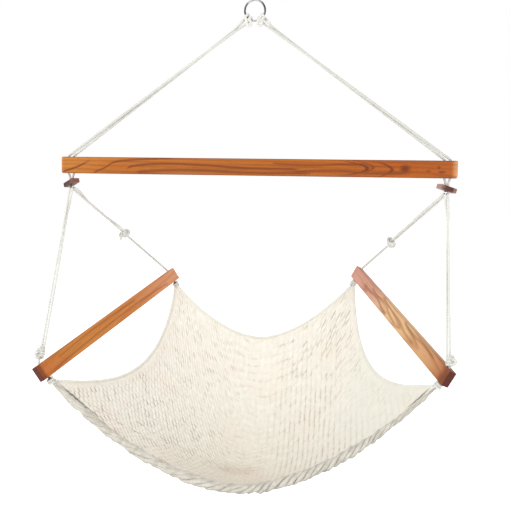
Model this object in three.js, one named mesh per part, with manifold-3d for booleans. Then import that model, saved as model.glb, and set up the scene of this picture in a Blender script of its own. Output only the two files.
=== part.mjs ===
// Rope hammock chair: a woven rope bed hung by its corners between two wooden arms, under a spreader bar.
// Millimetres, +Z up, +X to the sitter's left as seen from the front, -Y to the front of the seat.
// The origin is the inside of the hanging ring's top, where a hook carries the whole chair.
import * as THREE from "three";
import { mergeVertices } from "three/addons/utils/BufferGeometryUtils.js";
import Module from "manifold-3d";

const wasm = await Module();
wasm.setup();

// Driving dimensions: rope and working clearances
const ropeDiameter = 6.4;
const restGap = 0.3;
const rockClearance = 1.6;
const rockGap = 0.8;
const cutOverrun = 5;

// Driving dimensions: hanging ring and the rope hitched round it
const ringOuterDiameter = 56;
const ringWire = 5;
const hitchAngleDeg = 47;
const hitchLegLength = 20;
const hitchSpread = 9;

// Driving dimensions: spreader bar
const barLength = 1016;
const barHeight = 43;
const barThickness = 22;
const barEdgeRadius = 3;
const ringToBar = 389;
const barBoreInset = 17;
const barBoreSpacing = 14;
const barBoreClearance = 0.9;

// Driving dimensions: the small keeper blocks under the bar
const toggleLength = 45;
const toggleHeight = 14;
const toggleWidth = 22;
const toggleEdgeRadius = 1.5;
const toggleDrop = 46.5;
const toggleBoreClearance = 0.6;
const toggleTurnLeftDeg = -37;
const toggleTurnRightDeg = 24;
const toggleTiltLeftDeg = 18;
const toggleTiltRightDeg = 16;

// Driving dimensions: arms
const armLength = 610;
const armHeight = 38;
const armThickness = 19;
const armEdgeRadius = 2.5;
const armFrontHalfSpan = 470;
const armBackHalfSpan = 278;
const armFrontDrop = 480;
const armRise = 172;
const armFrontReach = 247;
const armRollDeg = 26;
const armBoreInset = 20;

// Driving dimensions: how far the seat hangs out of level with the bar, and to one side of it
const seatRollDeg = 2.4;
const seatShift = -17;

// Driving dimensions: knots
const frontKnotRiseLeft = 18;
const frontKnotRiseRight = 13;
const backKnotLeftShare = 0.5;
const backKnotRightShare = 0.62;
const knotTurns = 2;
const knotWrapShare = 0.92;
const knotTail = 15;
const frontKnotTail = 7;
const mouthRise = 3.5;
const tiltRoom = 0.9;
const frontReturnDrop = 2;
const backReturnDrop = 4;
const frontReturnTurnLeftDeg = 65;
const frontReturnTurnRightDeg = 0;
const returnTurnLength = 60;

// Driving dimensions: woven bed, as sags and pulls of its four edges
const bedThickness = 12;
const backSag = 149;
const backPull = 77;
const frontSag = 242;
const frontPull = 21;
const sideSag = 118;
const sidePull = 34;
const sideReach = 23;
const sideSkewShare = 0.71;
const sidePullSkewShare = 0.59;
const curvePowerShare = 1.77;
const hollowDepth = 35;
const frontBundleDiameter = 24;
const bundleEndDiameter = 12;
const bundleTaperPowerShare = 3;
const slitStartShare = 0.62;
const slitWidth = 14;
const edgeCordDiameter = 9;
const cornerShare = 0.96;
const cornerReach = 5;
const sideStartShare = 0.02;

// Facet counts and steps
const ropeSides = 8;
const ropeStep = 18;
const legSteps = 28;
const legCrossPowerShare = 0.63;
const bedColumns = 26;
const bedRows = 18;
const roundSides = 24;

// Sizes worked out from the driving dimensions
const ropeRadius = ropeDiameter / 2;
const ringRadius = (ringOuterDiameter - ringWire) / 2;
const ringCentreZ = -(ringRadius - ringWire / 2);
const barZ = ringCentreZ - ringToBar;
const strandPitch = ropeDiameter + restGap;
const degree = Math.PI / 180;

// Finishes
const oiledWood = { color: 0xb86a30, roughness: 0.42, metalness: 0 };
const paleWood = { color: 0xc88a58, roughness: 0.45, metalness: 0 };
const darkWood = { color: 0x5a3528, roughness: 0.5, metalness: 0 };
const steel = { color: 0x9a9a9c, roughness: 0.18, metalness: 1 };
const rope = { color: 0xece7d8, roughness: 0.85, metalness: 0 };

const chair = new THREE.Group();

function addMesh(name, geometry, finish) {
  const mesh = new THREE.Mesh(geometry, new THREE.MeshStandardMaterial(finish));
  mesh.name = name;
  chair.add(mesh);
  return mesh;
}

// Boolean helpers
function solidOf(geometry) {
  const bare = geometry.clone();
  bare.deleteAttribute("normal");
  bare.deleteAttribute("uv");
  const merged = mergeVertices(bare, restGap / 1000);
  const mesh = new wasm.Mesh({
    numProp: 3,
    vertProperties: new Float32Array(merged.attributes.position.array),
    triVerts: new Uint32Array(merged.index.array),
  });
  return new wasm.Manifold(mesh);
}

function geometryOf(solid) {
  const mesh = solid.getMesh();
  const geometry = new THREE.BufferGeometry();
  geometry.setAttribute("position", new THREE.Float32BufferAttribute(mesh.vertProperties, 3));
  geometry.setIndex(new THREE.Uint32BufferAttribute(mesh.triVerts, 1));
  geometry.computeVertexNormals();
  return geometry;
}

function vector(x, y, z) {
  return new THREE.Vector3(x, y, z);
}

// The seat hangs a little out of level and to one side; its points are measured from the bar's middle
const seat = new THREE.Group();
seat.rotation.y = -seatRollDeg * degree;
seat.position.set(seatShift, 0, barZ);
seat.updateMatrixWorld(true);
chair.add(seat);

function toSeat(point) {
  return seat.worldToLocal(point.clone());
}

function mirrored(side, point) {
  return vector(side * point.x, point.y, point.z);
}

// Timber with rounded long edges: its length runs along X, its height along Z
function timber(length, height, thickness, radius) {
  const halfY = thickness / 2 - radius;
  const halfZ = height / 2 - radius;
  const profile = new THREE.Shape();
  profile.absarc(halfY, halfZ, radius, 0, Math.PI / 2);
  profile.absarc(-halfY, halfZ, radius, Math.PI / 2, Math.PI);
  profile.absarc(-halfY, -halfZ, radius, Math.PI, 1.5 * Math.PI);
  profile.absarc(halfY, -halfZ, radius, 1.5 * Math.PI, 2 * Math.PI);
  const geometry = new THREE.ExtrudeGeometry(profile, { depth: length, bevelEnabled: false, curveSegments: 3 });
  geometry.translate(0, 0, -length / 2);
  const basis = new THREE.Matrix4().makeBasis(vector(0, 1, 0), vector(0, 0, 1), vector(1, 0, 0));
  return geometry.applyMatrix4(basis);
}

// A drill along Z through a piece of the given height
function drill(radius, height, x, y) {
  const geometry = new THREE.CylinderGeometry(radius, radius, height + 2 * cutOverrun, roundSides);
  geometry.rotateX(Math.PI / 2);
  geometry.translate(x, y, 0);
  return solidOf(geometry);
}

// A smooth curve that is stepped by its points, so that close points make a tight bend round
class RopeCurve extends THREE.CatmullRomCurve3 {
  constructor(points) {
    super(points, false, "centripetal");
  }

  getUtoTmapping(share) {
    return share;
  }
}

function line(from, to, count) {
  return Array.from({ length: count + 1 }, (_, i) => from.clone().lerp(to, i / count));
}

// Points from one place to another, a rope's usual step apart
function run(from, to) {
  return line(from, to, Math.max(1, Math.round(from.distanceTo(to) / ropeStep)));
}

function withoutRepeats(points) {
  return points.filter((point, i) => i === 0 || point.distanceTo(points[i - 1]) > restGap);
}

// A rope through its points; a ball end lets it swing against its neighbour
function ropeAlong(path, radius, ballAtStart = false) {
  const points = withoutRepeats(path);
  const section = new THREE.Shape();
  section.absarc(0, 0, radius, 0, 2 * Math.PI);
  const tube = new THREE.ExtrudeGeometry(section, {
    extrudePath: new RopeCurve(points),
    steps: points.length - 1,
    bevelEnabled: false,
    curveSegments: ropeSides / 2,
  });
  if (!ballAtStart) {
    return geometryOf(solidOf(tube));
  }
  const ball = new THREE.SphereGeometry(radius, ropeSides, ropeSides / 2);
  ball.translate(points[0].x, points[0].y, points[0].z);
  return geometryOf(solidOf(tube).add(solidOf(ball)));
}

// Hanging ring, in the X-Z plane
const ring = new THREE.TorusGeometry(ringRadius, ringWire / 2, 10, 36);
ring.rotateX(Math.PI / 2);
ring.translate(0, 0, ringCentreZ);
addMesh("hanging_ring", geometryOf(solidOf(ring)), steel);

// Hitch: the doubled rope goes over the ring from the front, comes down behind and leaves under its own bight
const wrapRadius = ringWire / 2 + ropeRadius + 2 * restGap;
const bightOut = wrapRadius + 0.6 * ropeRadius;

function hitchFrame(side) {
  const angle = hitchAngleDeg * degree;
  const outward = vector(side * Math.cos(angle), 0, -Math.sin(angle));
  const along = vector(side * Math.sin(angle), 0, Math.cos(angle));
  const centre = vector(0, 0, ringCentreZ).addScaledVector(outward, ringRadius);
  return { outward, along, centre };
}

// A point of the hitch: t along the wire, r outward from it, y across it
function hitchPoint(side, t, r, y) {
  const { outward, along, centre } = hitchFrame(side);
  return centre.clone().addScaledVector(along, t).addScaledVector(outward, r).add(vector(0, y, 0));
}

// The legs leave the hitches on one level, which is the line that the chair swings about
const swingZ = hitchPoint(1, 0, wrapRadius + hitchLegLength, 0).z;

function hitchExit(side, strand) {
  const near = hitchPoint(side, strand * hitchSpread / 2, wrapRadius, 0);
  const { outward } = hitchFrame(side);
  return near.addScaledVector(outward, (swingZ - near.z) / outward.z);
}

function hitchHalf(side, strand) {
  const at = (r, y) => hitchPoint(side, strand * hitchSpread / 2, r, y);
  const exit = hitchExit(side, strand);
  const { outward } = hitchFrame(side);
  const turn = (angleDeg) => at(wrapRadius * Math.cos(angleDeg * degree), wrapRadius * Math.sin(angleDeg * degree));
  return [
    exit.clone().addScaledVector(outward, -(ropeRadius + restGap)),
    at(bightOut + 1.6 * ropeRadius, 0.25 * wrapRadius),
    at(bightOut + 0.4 * ropeRadius, 0.7 * wrapRadius),
    turn(58), turn(84), turn(110), turn(136), turn(162), turn(188), turn(214), turn(240), turn(266),
    at(0.35 * bightOut, -1.02 * wrapRadius),
    at(0.75 * bightOut, -1.1 * wrapRadius),
  ];
}

for (const [side, name] of [[-1, "left"], [1, "right"]]) {
  const bight = [0.7, 0, -0.7].map((share) =>
    hitchPoint(side, share * hitchSpread / 2, bightOut + 0.15 * ropeRadius, -1.15 * wrapRadius));
  const path = [...hitchHalf(side, 1), ...bight, ...hitchHalf(side, -1).reverse()];
  addMesh(`ring_hitch_${name}`, ropeAlong(path, ropeRadius), rope);
}

// Spreader bar, bored for the two legs of rope at each end
const barBoreOuter = barLength / 2 - barBoreInset;
const barBoreInner = barBoreOuter - barBoreSpacing;
let bar = solidOf(timber(barLength, barHeight, barThickness, barEdgeRadius));
for (const x of [barBoreOuter, barBoreInner, -barBoreOuter, -barBoreInner]) {
  bar = bar.subtract(drill(ropeRadius + barBoreClearance, barHeight, x, 0));
}
const barGeometry = geometryOf(bar);
barGeometry.translate(0, 0, barZ);
addMesh("spreader_bar", barGeometry, oiledWood);

// Keeper blocks: both legs go down through one bore, so a block can turn on its ropes
const toggleX = (barBoreOuter + barBoreInner) / 2;
const toggleZ = barZ - toggleDrop;
const toggleBoreRadius = strandPitch / 2 + ropeRadius + toggleBoreClearance;
const toggleSlope = Math.tan(Math.max(toggleTiltLeftDeg, toggleTiltRightDeg) * degree);
const tiltZ = toggleZ - toggleHeight / 2 - ropeRadius - (strandPitch / 2 + ropeRadius) * toggleSlope;

// A block hangs with its outer end low, and its bore is drilled askew so that the ropes run upright
const toggles = [
  [-1, "left", toggleTurnLeftDeg, toggleTiltLeftDeg],
  [1, "right", toggleTurnRightDeg, toggleTiltRightDeg],
];
for (const [side, name, turn, tilt] of toggles) {
  const block = timber(toggleLength, toggleHeight, toggleWidth, toggleEdgeRadius);
  block.rotateY(side * tilt * degree);
  const geometry = geometryOf(solidOf(block).subtract(drill(toggleBoreRadius, toggleLength, 0, 0)));
  const mesh = addMesh(`toggle_${name}`, geometry, darkWood);
  mesh.rotation.z = turn * degree;
  mesh.position.set(side * toggleX, 0, toggleZ);
}

// Hanger legs: hitch to bore, crossing once on the way, then through the bar and the keeper block
const boreRadius = ropeRadius + barBoreClearance;
const barTop = barZ + barHeight / 2;

// The bend over a bore's inner lip, from its middle to where the rope leaves for the ring
function lipBend(side, boreX, slope) {
  const middle = vector(boreX - side * boreRadius, 0, barTop);
  return [1, 0.75, 0.5, 0.25, 0].map((share) => {
    const angle = share * (Math.PI / 2 - slope);
    return middle.clone().add(vector(side * boreRadius * Math.cos(angle), 0, boreRadius * Math.sin(angle)));
  });
}

function hangerLeg(side, strand) {
  const boreOf = (which) => side * (which > 0 ? barBoreInner : barBoreOuter);
  const starts = [-1, 1].map((which) => hitchExit(side, which));
  const slope = Math.atan2(swingZ - barTop, barBoreInner - Math.abs(starts[1].x));
  const ends = [-1, 1].map((which) => lipBend(side, boreOf(which), slope)[0]);
  const from = starts[0].clone().add(starts[1]).multiplyScalar(0.5);
  const to = ends[0].clone().add(ends[1]).multiplyScalar(0.5);
  const own = (strand + 1) / 2;
  const startOffset = starts[own].clone().sub(from);
  const endOffset = ends[own].clone().sub(to);
  const across = vector(side * Math.sin(slope), 0, Math.cos(slope));
  const between = (share) => {
    const offset = startOffset.clone().lerp(endOffset, share ** legCrossPowerShare);
    const apart = 2 * offset.dot(across);
    const aside = Math.sqrt(Math.max(0, (1.06 * strandPitch) ** 2 - apart ** 2)) / 2;
    return from.clone().lerp(to, share).add(offset).add(vector(0, strand * aside, 0));
  };
  const shares = Array.from({ length: legSteps - 1 }, (_, i) => (i + 1) / legSteps);
  const boreX = boreOf(strand);
  const keeperX = side * (toggleX - strand * strandPitch / 2);
  return [
    starts[own],
    ...shares.map(between),
    ...lipBend(side, boreX, slope),
    vector(boreX, 0, barZ),
    vector(boreX, 0, barZ - barHeight / 2),
    vector(keeperX, 0, 2 * toggleZ - tiltZ),
    vector(keeperX, 0, toggleZ),
    vector(keeperX, 0, tiltZ + ropeRadius + tiltRoom),
  ];
}

for (const [side, name] of [[-1, "left"], [1, "right"]]) {
  for (const [strand, place] of [[-1, "outer"], [1, "inner"]]) {
    addMesh(`hanger_leg_${place}_${name}`, ropeAlong(hangerLeg(side, strand), ropeRadius, true), rope);
  }
}

// Arms: boards that slope up to the back, come together there and roll their lower edges inward
const armRun = Math.sqrt(armLength ** 2 - (armFrontHalfSpan - armBackHalfSpan) ** 2 - armRise ** 2);
const armFront = vector(armFrontHalfSpan, -armFrontReach, -armFrontDrop);
const armBack = vector(armBackHalfSpan, armRun - armFrontReach, armRise - armFrontDrop);

// Directions of an arm: along it to the front, out of its outer face, and up its height
function armAxes(side) {
  const front = mirrored(side, armFront);
  const back = mirrored(side, armBack);
  const along = front.clone().sub(back).normalize();
  const level = vector(0, 0, 1).cross(along).normalize().multiplyScalar(-side);
  const up = along.clone().cross(level).multiplyScalar(-side).normalize();
  const roll = armRollDeg * degree;
  const height = up.clone().multiplyScalar(Math.cos(roll)).addScaledVector(level, -Math.sin(roll));
  return { front, back, along, height };
}

for (const [side, name] of [[-1, "left"], [1, "right"]]) {
  const { front, back, along, height } = armAxes(side);
  let board = solidOf(timber(armLength, armHeight, armThickness, armEdgeRadius));
  for (const x of [armLength / 2 - armBoreInset, armBoreInset - armLength / 2]) {
    board = board.subtract(drill(ropeRadius + rockClearance, armHeight, x, 0));
  }
  const mesh = addMesh(`arm_${name}`, geometryOf(board), side < 0 ? oiledWood : paleWood);
  const across = height.clone().cross(along);
  mesh.setRotationFromMatrix(new THREE.Matrix4().makeBasis(along, across, height));
  mesh.position.copy(front.clone().add(back).multiplyScalar(0.5));
  seat.add(mesh);
}

// The middle of the rope's bore at one end of an arm
function boreCentre(side, end) {
  const { front, back, along } = armAxes(side);
  return end === "front"
    ? front.addScaledVector(along, -armBoreInset)
    : back.addScaledVector(along, armBoreInset);
}

function alongBore(side, end, rise) {
  return boreCentre(side, end).addScaledVector(armAxes(side).height, rise);
}

// A knot is a close coil of rope round the strand that it grips, with a short tail
const coilRadius = strandPitch;
const coilOuterRadius = coilRadius + ropeRadius;
const knotHalfHeight = (knotTurns * strandPitch + ropeDiameter) / 2;
const wrapCoilRadius = 2 * (strandPitch + restGap);
const pointsPerTurn = 12;

// A big knot has a slanting turn more over its coil
function addKnot(name, centre, axis, toward, tail, wrapShare = 0) {
  const outward = toward.clone().addScaledVector(axis, -toward.dot(axis)).normalize();
  const across = axis.clone().cross(outward);
  const turnPoint = (turns, radius, rise) => centre.clone()
    .addScaledVector(outward, radius * Math.cos(2 * Math.PI * turns))
    .addScaledVector(across, radius * Math.sin(2 * Math.PI * turns))
    .addScaledVector(axis, rise);
  const half = knotTurns / 2 * strandPitch;
  const coilPoints = knotTurns * pointsPerTurn;
  const points = Array.from({ length: coilPoints + 1 }, (_, i) =>
    turnPoint(i / pointsPerTurn, coilRadius, half - strandPitch * i / pointsPerTurn));
  const wrapPoints = Math.round(wrapShare * pointsPerTurn);
  for (let i = 1; i <= wrapPoints; i += 1) {
    const lift = Math.min(1, 3 * i / pointsPerTurn);
    const radius = coilRadius + (wrapCoilRadius - coilRadius) * lift;
    const rise = half * (2 * Math.max(0, i / wrapPoints - 0.25) / 0.75 - 1);
    points.push(turnPoint(i / pointsPerTurn, radius, rise));
  }
  const last = points[points.length - 1];
  const before = points[points.length - 2];
  const away = wrapShare > 0 ? last.clone().sub(before).addScaledVector(axis, -last.clone().sub(before).dot(axis)) : across;
  const straight = away.clone().normalize();
  for (const share of [0.35, 0.7, 1]) {
    points.push(last.clone().addScaledVector(straight, tail * share));
  }
  seat.add(addMesh(name, ropeAlong(points, ropeRadius), rope));
}

// Corner knots hang under the arms and hold the corners of the bed
const cornerKnotRise = -(armHeight / 2 + rockGap + knotHalfHeight);

function cornerKnotCentre(side, end) {
  return alongBore(side, end, cornerKnotRise);
}

// Seat ropes: a main strand from the keeper block through the knot and the arm, and a doubling strand to the knot.
// The four strands leave a block side by side, the front pair before the back pair.
function mainStart(side, end) {
  const ahead = (end === "front" ? -1 : 1) * strandPitch / 2;
  return toSeat(vector(side * (toggleX + strandPitch / 2), ahead, tiltZ));
}

// A strand beside the main one, which may turn behind it and back on its way down
function doublingStrand(from, to, beside, turnDeg) {
  const behind = beside.clone().cross(to.clone().sub(from).normalize());
  behind.multiplyScalar(Math.sign(behind.y));
  const length = from.distanceTo(to);
  return run(from, to).map((point) => {
    const far = point.distanceTo(from);
    const angle = turnDeg * degree * Math.min(1, far / returnTurnLength) * (1 - far / length);
    return point.addScaledVector(beside, Math.cos(angle)).addScaledVector(behind, Math.sin(angle));
  });
}

function knotShare(side, end, length) {
  if (end === "front") {
    return 1 - (side < 0 ? frontKnotRiseLeft : frontKnotRiseRight) / length;
  }
  return side < 0 ? backKnotLeftShare : backKnotRightShare;
}

function addSeatRope(side, name, end) {
  const { height } = armAxes(side);
  const start = mainStart(side, end);
  const top = alongBore(side, end, armHeight / 2);
  const mouth = alongBore(side, end, armHeight / 2 + mouthRise);
  const centre = start.clone().lerp(mouth, knotShare(side, end, start.distanceTo(mouth)));
  const axis = start.clone().sub(mouth).normalize();
  const path = [
    ...run(start, mouth.clone().addScaledVector(axis, mouthRise)),
    mouth,
    top,
    ...run(top, alongBore(side, end, -armHeight / 2)),
    alongBore(side, end, cornerKnotRise - knotHalfHeight),
  ];
  seat.add(addMesh(`${end}_rope_${name}`, ropeAlong(path, ropeRadius, true), rope));

  const inside = vector(-side, 0, 0);
  const beside = inside.clone().addScaledVector(axis, -inside.dot(axis)).normalize().multiplyScalar(strandPitch);
  const upper = start.clone().addScaledVector(axis, end === "front" ? -frontReturnDrop : -backReturnDrop);
  const lower = centre.clone().addScaledVector(axis, knotHalfHeight + restGap);
  const turn = end === "back" ? 0 : side < 0 ? frontReturnTurnLeftDeg : frontReturnTurnRightDeg;
  seat.add(addMesh(`${end}_rope_return_${name}`, ropeAlong(doublingStrand(upper, lower, beside, turn), ropeRadius), rope));
  const tail = end === "front" ? frontKnotTail : knotTail;
  addKnot(`${end}_knot_${name}`, centre, axis, vector(0, -1, 0), tail, end === "front" ? 0 : knotWrapShare);
  addKnot(`corner_knot_${end}_${name}`, cornerKnotCentre(side, end), height, vector(-side, 0, 0), ropeRadius);
}

for (const [side, name] of [[-1, "left"], [1, "right"]]) {
  addSeatRope(side, name, "front");
  addSeatRope(side, name, "back");
}

// Woven bed: the four edges hang between the corner knots; u runs from left to right, v from back to front
const backCorner = cornerKnotCentre(1, "back");
const frontCorner = cornerKnotCentre(1, "front");

function backEdge(u) {
  const sag = 1 - Math.abs(u) ** curvePowerShare;
  return vector(u * backCorner.x, backCorner.y - backPull * sag, backCorner.z - backSag * sag);
}

function frontEdge(u) {
  const sag = 1 - Math.abs(u) ** curvePowerShare;
  return vector(u * frontCorner.x, frontCorner.y - frontPull * sag, frontCorner.z - frontSag * sag);
}

function sideEdge(side, v) {
  const sag = 4 * v * (1 - v);
  const pull = sidePull * sag * (1 + sidePullSkewShare * (0.5 - v));
  const drop = sideSag * sag * (1 + sideSkewShare * (0.5 - v));
  const point = backCorner.clone().lerp(frontCorner, v).sub(vector(pull, sideReach * sag, drop));
  return mirrored(side, point);
}

// The cloth between the edges, with the sitter's hollow pressed into its middle
function clothPoint(u, v) {
  const share = (u + 1) / 2;
  const ruled = backEdge(u).lerp(frontEdge(u), v);
  const sides = sideEdge(-1, v).lerp(sideEdge(1, v), share);
  const corners = backEdge(-1).lerp(backEdge(1), share).lerp(frontEdge(-1).lerp(frontEdge(1), share), v);
  const hollow = hollowDepth * (1 - u ** 2) ** 2 * Math.sin(Math.PI * v) ** 2;
  return ruled.add(sides).sub(corners).add(vector(0, 0, -hollow));
}

function clothSlopes(u, v) {
  const step = 0.001;
  const alongU = clothPoint(u + step, v).sub(clothPoint(u - step, v)).divideScalar(2 * step);
  const alongV = clothPoint(u, v + step).sub(clothPoint(u, v - step)).divideScalar(2 * step);
  return { alongU, alongV, normal: alongU.clone().cross(alongV) };
}

// Shares of u and v that set the cloth's rim the given distance inside an edge
function insetV(u, v, distance) {
  const { alongU, normal } = clothSlopes(u, v);
  return distance * alongU.length() / normal.length();
}

function insetU(u, v, distance) {
  const { alongV, normal } = clothSlopes(u, v);
  return distance * alongV.length() / normal.length();
}

function bundleRadius(u) {
  const swell = 1 - Math.abs(u) ** bundleTaperPowerShare;
  return (bundleEndDiameter + (frontBundleDiameter - bundleEndDiameter) * swell) / 2;
}

// The bundle stands off the cloth in a slit near each front corner
function slit(u) {
  const share = (Math.abs(u) - slitStartShare) / (1 - slitStartShare);
  return share > 0 ? slitWidth * Math.sin(Math.PI * Math.min(1, share)) : 0;
}

const cordInset = edgeCordDiameter / 2 + 2 * restGap;

function clothGrid(a, b) {
  const u = a * (1 - insetU(a * cornerShare, b * cornerShare + (1 - cornerShare) / 2, cordInset));
  const edge = u * cornerShare;
  const low = insetV(edge, 0, cordInset);
  const high = 1 - insetV(edge, 1, bundleRadius(u) + restGap + slit(u));
  return { u, v: low + (high - low) * b };
}

function clothSolid() {
  const positions = [];
  const index = [];
  const rows = bedRows + 1;
  const columns = bedColumns + 1;
  for (const face of [1, -1]) {
    for (let j = 0; j < rows; j += 1) {
      for (let i = 0; i < columns; i += 1) {
        const { u, v } = clothGrid(2 * i / bedColumns - 1, j / bedRows);
        const normal = clothSlopes(u, v).normal.normalize();
        const point = clothPoint(u, v).addScaledVector(normal, face * bedThickness / 2);
        positions.push(point.x, point.y, point.z);
      }
    }
  }
  const at = (face, i, j) => (face * rows + j) * columns + i;
  const quad = (a, b, c, d) => index.push(a, b, c, a, c, d);
  for (let j = 0; j < bedRows; j += 1) {
    for (let i = 0; i < bedColumns; i += 1) {
      quad(at(0, i, j), at(0, i + 1, j), at(0, i + 1, j + 1), at(0, i, j + 1));
      quad(at(1, i, j), at(1, i, j + 1), at(1, i + 1, j + 1), at(1, i + 1, j));
    }
  }
  for (let i = 0; i < bedColumns; i += 1) {
    quad(at(1, i, 0), at(1, i + 1, 0), at(0, i + 1, 0), at(0, i, 0));
    quad(at(0, i, bedRows), at(0, i + 1, bedRows), at(1, i + 1, bedRows), at(1, i, bedRows));
  }
  for (let j = 0; j < bedRows; j += 1) {
    quad(at(0, 0, j), at(0, 0, j + 1), at(1, 0, j + 1), at(1, 0, j));
    quad(at(1, bedColumns, j), at(1, bedColumns, j + 1), at(0, bedColumns, j + 1), at(0, bedColumns, j));
  }
  const geometry = new THREE.BufferGeometry();
  geometry.setAttribute("position", new THREE.Float32BufferAttribute(positions, 3));
  geometry.setIndex(index);
  return geometry;
}

seat.add(addMesh("woven_bed", geometryOf(solidOf(clothSolid())), rope));

// A border rope of changing radius, cut to lie against the corner knots that hold it
function sweep(points, radiusAt, sides) {
  const curve = new RopeCurve(points);
  const steps = points.length - 1;
  const { normals, binormals } = curve.computeFrenetFrames(steps, false);
  const positions = [];
  const index = [];
  points.forEach((point, i) => {
    for (let k = 0; k < sides; k += 1) {
      const angle = 2 * Math.PI * k / sides;
      const rim = point.clone()
        .addScaledVector(normals[i], radiusAt(i / steps) * Math.cos(angle))
        .addScaledVector(binormals[i], radiusAt(i / steps) * Math.sin(angle));
      positions.push(rim.x, rim.y, rim.z);
    }
  });
  for (let i = 0; i < steps; i += 1) {
    for (let k = 0; k < sides; k += 1) {
      const next = (k + 1) % sides;
      const [a, b, c, d] = [i * sides + k, i * sides + next, (i + 1) * sides + next, (i + 1) * sides + k];
      index.push(a, b, c, a, c, d);
    }
  }
  for (const [ring, turned] of [[0, true], [steps, false]]) {
    const middle = positions.length / 3;
    positions.push(points[ring].x, points[ring].y, points[ring].z);
    for (let k = 0; k < sides; k += 1) {
      const [a, b] = [ring * sides + k, ring * sides + (k + 1) % sides];
      index.push(middle, ...(turned ? [b, a] : [a, b]));
    }
  }
  const geometry = new THREE.BufferGeometry();
  geometry.setAttribute("position", new THREE.Float32BufferAttribute(positions, 3));
  geometry.setIndex(index);
  return geometry;
}

// The room that a corner knot takes up, with its clearance
function knotRoom(side, end) {
  const radius = coilOuterRadius + restGap;
  const geometry = new THREE.CylinderGeometry(radius, radius, 2 * (knotHalfHeight + restGap), roundSides);
  const turn = new THREE.Quaternion().setFromUnitVectors(vector(0, 1, 0), armAxes(side).height);
  const centre = cornerKnotCentre(side, end);
  const matrix = new THREE.Matrix4().compose(centre, turn, vector(1, 1, 1));
  return solidOf(geometry.applyMatrix4(matrix));
}

function addBorder(name, points, radiusAt, knots) {
  let border = solidOf(sweep(points, radiusAt, ropeSides));
  for (const [side, end] of knots) {
    border = border.subtract(knotRoom(side, end));
  }
  seat.add(addMesh(name, geometryOf(border), rope));
}

function shares(from, to, count) {
  return Array.from({ length: count + 1 }, (_, i) => from + (to - from) * i / count);
}

const cordRadius = () => edgeCordDiameter / 2;
const backSpan = 1 - cornerReach / backCorner.length();
const frontSpan = 1 - cornerReach / frontCorner.length();
addBorder("front_bundle", shares(-frontSpan, frontSpan, 44).map(frontEdge),
  (share) => bundleRadius(frontSpan * (2 * share - 1)), [[-1, "front"], [1, "front"]]);
addBorder("back_edge_cord", shares(-backSpan, backSpan, 30).map(backEdge), cordRadius, [[-1, "back"], [1, "back"]]);
for (const [side, name] of [[-1, "left"], [1, "right"]]) {
  const path = shares(sideStartShare, 1 - sideStartShare, 28).map((v) => sideEdge(side, v));
  addBorder(`side_edge_cord_${name}`, path, cordRadius, [[side, "back"], [side, "front"]]);
}

export default chair;
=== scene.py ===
import math
from functools import reduce

import bpy
import numpy as np
from mathutils import Matrix, Vector


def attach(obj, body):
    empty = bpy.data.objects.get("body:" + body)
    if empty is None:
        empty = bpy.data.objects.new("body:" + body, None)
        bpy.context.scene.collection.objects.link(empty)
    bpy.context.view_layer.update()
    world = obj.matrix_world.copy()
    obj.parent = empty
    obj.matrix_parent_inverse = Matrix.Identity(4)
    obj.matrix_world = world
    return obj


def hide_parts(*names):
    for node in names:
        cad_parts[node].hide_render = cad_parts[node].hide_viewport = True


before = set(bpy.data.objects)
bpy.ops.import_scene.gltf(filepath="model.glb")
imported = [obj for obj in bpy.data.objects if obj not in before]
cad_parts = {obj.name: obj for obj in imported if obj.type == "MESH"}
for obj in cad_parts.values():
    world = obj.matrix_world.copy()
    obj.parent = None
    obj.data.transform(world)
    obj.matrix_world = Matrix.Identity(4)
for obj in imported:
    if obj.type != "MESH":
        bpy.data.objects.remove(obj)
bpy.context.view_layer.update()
MM = 0.001
DEG = math.pi / 180
TAU = 2 * math.pi
TINY = 1e-6

# ---- Sizes of the part, in millimetres, as in its CAD source
ROPE_D = 6.4
ROPE_R = ROPE_D / 2
GAP = 0.3
PITCH = ROPE_D + GAP
RING_OD, RING_WIRE = 56.0, 5.0
RING_R = (RING_OD - RING_WIRE) / 2
RING_Z = -(RING_R - RING_WIRE / 2)
HITCH_ANGLE, HITCH_LEG, HITCH_SPREAD, HITCH_OPEN = 47 * DEG, 20.0, 9.0, 11.0
BAR_L, BAR_H, BAR_T, BAR_EDGE, BAR_END_EDGE = 1016.0, 43.0, 22.0, 3.0, 5.0
BAR_Z = RING_Z - 389.0
BORE_R = ROPE_R + 0.9
BORE_OUT = BAR_L / 2 - 17.0
BORE_IN = BORE_OUT - 14.0
BAR_TOP = BAR_Z + BAR_H / 2
TOG_L, TOG_H, TOG_W, TOG_EDGE, TOG_SHOWN_H = 45.0, 14.0, 22.0, 1.5, 11.5
TOG_X = (BORE_OUT + BORE_IN) / 2
TOG_Z = BAR_Z - 46.5
TOG_BORE_R = PITCH / 2 + ROPE_R + 0.6
TOG_TURN = {-1: -37 * DEG, 1: 24 * DEG}
TOG_TILT = {-1: 18 * DEG, 1: 16 * DEG}
TILT_Z = TOG_Z - TOG_H / 2 - ROPE_R - (PITCH / 2 + ROPE_R) * math.tan(max(TOG_TILT.values()))
TILT_ROOM = 0.9
ARM_L, ARM_H, ARM_T, ARM_EDGE = 610.0, 38.0, 19.0, 2.5
ARM_FRONT_X, ARM_BACK_X, ARM_DROP, ARM_RISE, ARM_REACH = 470.0, 278.0, 480.0, 172.0, 247.0
ARM_ROLL = 26 * DEG
ARM_INSET, ARM_BORE_R, ROCK_GAP = 20.0, ROPE_R + 1.6, 0.8
SEAT_ROLL, SEAT_SHIFT = -2.4 * DEG, -17.0
KNOT_TURNS, FRONT_TURNS, KNOT_WRAP, MOUTH = 2, {-1: 4, 1: 3}, 0.92, 3.5
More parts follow.
